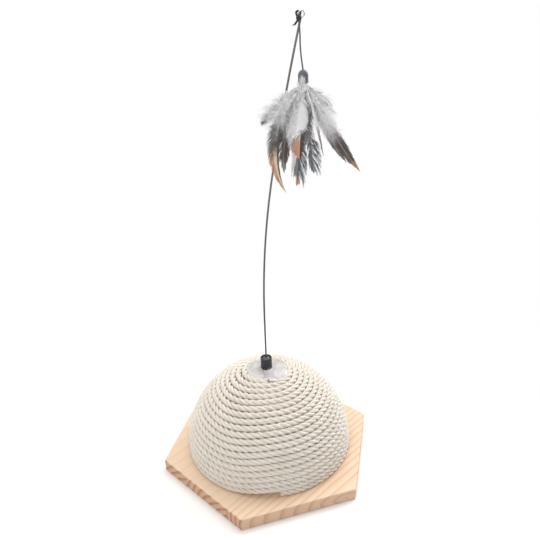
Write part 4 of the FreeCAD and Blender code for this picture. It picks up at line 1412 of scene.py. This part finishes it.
# %% Shapes
# down_to says how far along the down goes, down its length in mm, and ragged how far the vane splits.
# wide and other_width are times the blade's width and one hand's. A larger fullest puts the widest
# place nearer the tip. opened tilts the barbs further, in degrees. root and full_by say how wide the
# down is at the cap and where it is full.
shapes = {
    "feather_left_fluff": dict(slot="white", down_to=0.90, down=7, ragged=1.0, fullest=1.7,
                               root=0.12, full_by=0.5),
    "feather_left_long": dict(slot="brown", down_to=0.40, down=10, ragged=0.25, fullest=1.0,
                              wide=1.1, other_width=0.75),
    "feather_left_dark": dict(slot="brown", down_to=0.50, down=8.5, ragged=1.0, fullest=1.6, wide=1.2),
    "feather_front_white": dict(slot="white", down_to=0.20, down=8, ragged=0.2, fullest=1.5, wide=1.5,
                                other_width=0.86),
    "feather_front_thin": dict(slot="brown", down_to=0.50, down=8, ragged=1.2, wide=2.0),
    "feather_middle_long": dict(slot="grey", down_to=0.48, down=9, ragged=1.8, fullest=2.6, wide=1.6,
                                other_width=1.35, opened=14),
    "feather_middle_short": dict(slot="grey", down_to=0.36, down=8, ragged=2.6, fullest=3.0, wide=2.1,
                                 other_width=1.6, opened=24),
    "feather_right_spike": dict(slot="grey", down_to=0.30, down=3, ragged=0.5),
    "feather_right_long": dict(slot="brown", down_to=0.48, down=8.5, ragged=0.3, fullest=1.6),
    "feather_right_second": dict(slot="brown", down_to=0.50, down=8, ragged=0.5, fullest=1.7),
    "feather_right_fluff": dict(slot="white", down_to=0.90, down=5, ragged=0.9, fullest=1.7,
                                root=0.12, full_by=0.5, other_width=0.5),
    "feather_back_right": dict(slot="white", down_to=0.72, down=6, ragged=0.9),
    "feather_back": dict(slot="grey", down_to=0.50, down=5.5, ragged=0.6),
}
print("shapes", len(shapes))

# %% Shades
WHITE = colour(252, 252, 254)
ASH = colour(240, 238, 240)
DARK = colour(80, 72, 68)
BROWN = colour(88, 78, 73)
SLATE = colour(108, 116, 124)
RUST = colour(204, 148, 112)
SALMON = colour(208, 152, 124)
GREY = colour(150, 143, 139)
STONE = colour(106, 102, 100)
BEIGE = colour(228, 214, 207)
CREAM = colour(255, 236, 208)
shades = {
    "feather_left_fluff": dict(vane=GREY, vane_from=0.84),
    "feather_left_long": dict(vane=DARK, vane_from=0.44, tip=RUST, tip_from=0.66, other_hand=BROWN,
                              other_from=0.70, streak=0.40, streak_from=0.62, streak_colour=CREAM),
    "feather_left_dark": dict(vane=DARK, vane_from=0.56, tip=GREY, tip_from=0.88),
    "feather_front_white": dict(vane=WHITE, vane_from=0.45, edge=WHITE, tip=SALMON, tip_from=0.70,
                                band=0.8, other_hand=DARK, other_from=0.74, streak_colour=ASH),
    "feather_front_thin": dict(vane=BEIGE, vane_from=0.55, edge=ASH, streak_colour=BEIGE),
    "feather_middle_long": dict(vane=SLATE, vane_from=0.56, tip=RUST, tip_from=0.95),
    "feather_middle_short": dict(vane=BROWN, vane_from=0.32, tip=SLATE, tip_from=0.62),
    "feather_right_spike": dict(vane=GREY, vane_from=0.66, edge=ASH, tip=SLATE, tip_from=0.9),
    "feather_right_long": dict(vane=BROWN, vane_from=0.56, tip=RUST, tip_from=0.91, streak=0.12),
    "feather_right_second": dict(vane=STONE, vane_from=0.62, tip=GREY, tip_from=0.97, streak=0.12),
    "feather_right_fluff": dict(vane=ASH, vane_from=0.85, edge=WHITE),
    "feather_back_right": dict(vane=ASH, vane_from=0.6, edge=WHITE, tip=GREY, tip_from=0.95),
    "feather_back": dict(vane=SLATE, vane_from=0.6),
}
print("shades", len(shades))

# %% [markdown]
# ## The bunch
# A barb leans to the tip, so it ends further along than it starts. Its length is found by small steps,
# so that it ends on the outline of the blade, which keeps the tips as fine as they should be.

# %% How long the barbs are
ROOT_TILT = 34
TILT_GAIN = 20
TILT_LOSS = 32
DOWN_ENDS_EARLY = 0.14
DOWN_ENDS_LATE = 0.12
DOWN_SHRINKS = 0.6
OUTLINE_STEPS = 20


def vane_reach(share, tilt, length, width, fullest):
    """How long the barbs of the vane are, so that each ends on the blade's outline."""
    reach = np.zeros(len(share))
    for step in range(OUTLINE_STEPS):
        ends_at = np.minimum(1, share + reach * np.cos(tilt) / length)
        half = (QUILL_WIDTH + (width - QUILL_WIDTH) * np.sin(math.pi * ends_at**fullest)) / 2
        reach = (reach + half / np.sin(tilt)) / 2
    return reach


def barb_plan(name, share):
    """How far the barbs lean, how downy they are and how long they are, along the quill."""
    shape = shapes[name]
    length, width = blades[name][4:6]
    down_to, root = shape["down_to"], shape.get("root", 0.22)
    tilt = ROOT_TILT + TILT_GAIN * smooth_step(share, 0.0, 0.35)
    tilt -= TILT_LOSS * smooth_step(share, 0.2, 1.0)
    tilt = np.radians(tilt + shape.get("opened", 0) * smooth_step(share, 0.35, 0.65))
    fluff = 1 - smooth_step(share, down_to - DOWN_ENDS_EARLY, down_to + DOWN_ENDS_LATE)
    spread = root + (1 - root) * smooth_step(share, 0.0, shape.get("full_by", 0.36))
    spread *= 1 - DOWN_SHRINKS * smooth_step(share, 0.7, 1.0)
    width = width * shape.get("wide", 1.0)
    vane = vane_reach(share, tilt, length, width, shape.get("fullest", 1.15))
    return tilt, fluff, np.maximum(vane, shape["down"] * fluff * spread)


print("barbs' ends are found in", OUTLINE_STEPS, "steps")

# %% From a blade to a quill
QUILL_POINTS = 70
QUILL_HIDDEN = 2.5
UP = np.array([0, 0, 1.0])


def quill_chain(name):
    """The quill's points, and what the barbs need to know at each."""
    direction, splay, end_splay, roll, length, width, circle = blades[name]
    angle = math.radians(direction) + TEASER_TURN
    out = np.array([math.cos(angle), math.sin(angle), 0])
    side = np.array([-math.sin(angle), math.cos(angle), 0])
    share = np.linspace(0, 1, QUILL_POINTS)
    start, turn = math.radians(splay), math.radians(end_splay - splay)
    lean = start + turn * share
    away = length / turn * (math.cos(start) - np.cos(lean)) + circle
    down = length / turn * (np.sin(lean) - math.sin(start)) + QUILL_SHOW
    points = CAP_MOUTH + away[:, None] * out - down[:, None] * UP
    flat = np.cos(lean)[:, None] * out + np.sin(lean)[:, None] * UP
    rolled = (math.radians(roll) * np.minimum(1, share / ROLL_DONE_AT))[:, None]
    tilt, fluff, reach = barb_plan(name, share)
    facts = dict(share=share, reach=reach * MM, lean=tilt, fluff=fluff,
                 side=side * np.cos(rolled) - flat * np.sin(rolled),
                 face=flat * np.cos(rolled) + side * np.sin(rolled))
    # One more point leads up into the cap, and has what the first one has.
    points = np.concatenate([points[:1] + QUILL_HIDDEN * UP, points])
    facts = {label: np.concatenate([values[:1], values]) for label, values in facts.items()}
    return chain(name, points * MM, **facts)


print("quills ready")

# %% Thirteen feathers
BARB_STEP = 0.14
THIN_BARB_STEP = 0.4
DOWN_STEP = 0.13
THIN_BLADE = 5
for number, (name, blade) in enumerate(blades.items()):
    shape = shapes[name]
    blade_length, blade_width = blade[4:6]
    feather_finish = plumage_finish(name, **{"down": WHITE, "edge": GREY, **shades[name]})
    barb_step = BARB_STEP if blade_width > THIN_BLADE else THIN_BARB_STEP
    feather_mesh = grown(
        name + "_barbs", quill_chain(name), plume, barbs=int(blade_length / barb_step),
        down_barbs=int(blade_length / DOWN_STEP), barb_thickness=0.34 * MM, quill_radius=0.26 * MM,
        flutter=8.0 * MM, splits=shape["ragged"], other_hand_width=shape.get("other_width", 1.0),
        seed=number * 11 + 3, material=feather_finish)
    piece(name + "_barbs", feather_mesh, "bunch", "feather_" + shape["slot"], name)
print("feathers", len(blades))

# %% [markdown]
# ## Tuft on the cap
# The front feather's down is too springy to stay inside the cap, so some of it stands up over the rim.
# It is one more row of barbs, along a short line that runs up the front of the cap.

# %% Tuft
TUFT_FACING = math.radians(238.0)
TUFT_RADIUS = 3.7
TUFT_FLARE = 2.5
TUFT_LOW = -7.0
TUFT_HIGH = 2.2
TUFT_TILT = 50
TUFT_TILT_LOSS = 18
TUFT_REACH = 5.0
TUFT_REACH_LOSS = 2.4
TUFT_POINTS = 16
tuft_way = np.array([math.cos(TUFT_FACING), math.sin(TUFT_FACING), 0])
tuft_side = np.array([-math.sin(TUFT_FACING), math.cos(TUFT_FACING), 0])
tuft_share = np.linspace(0, 1, TUFT_POINTS)
tuft_height = TUFT_LOW + (TUFT_HIGH - TUFT_LOW) * tuft_share
tuft_out = TUFT_RADIUS + TUFT_FLARE * smooth_step(tuft_share, 0.8, 0.0)
tuft_points = CAP_MOUTH + tuft_out[:, None] * tuft_way + tuft_height[:, None] * UP
tuft_chain = chain(
    "tuft", tuft_points * MM, share=tuft_share * 0, fluff=np.ones(TUFT_POINTS),
    lean=np.radians(TUFT_TILT - TUFT_TILT_LOSS * tuft_share),
    reach=(TUFT_REACH - TUFT_REACH_LOSS * tuft_share) * MM,
    side=np.tile(tuft_side, (TUFT_POINTS, 1)), face=np.tile(tuft_way, (TUFT_POINTS, 1)))
tuft_mesh = grown(
    "feather_tuft", tuft_chain, plume, barbs=70, down_barbs=320, barb_thickness=0.26 * MM,
    quill_radius=0.10 * MM, flutter=3.0 * MM, splits=0.2, seed=171,
    material=plumage_finish("feather_tuft", down=WHITE, vane=WHITE, edge=WHITE))
piece("feather_tuft", tuft_mesh, "bunch", "feather_white", "feather_front_white")
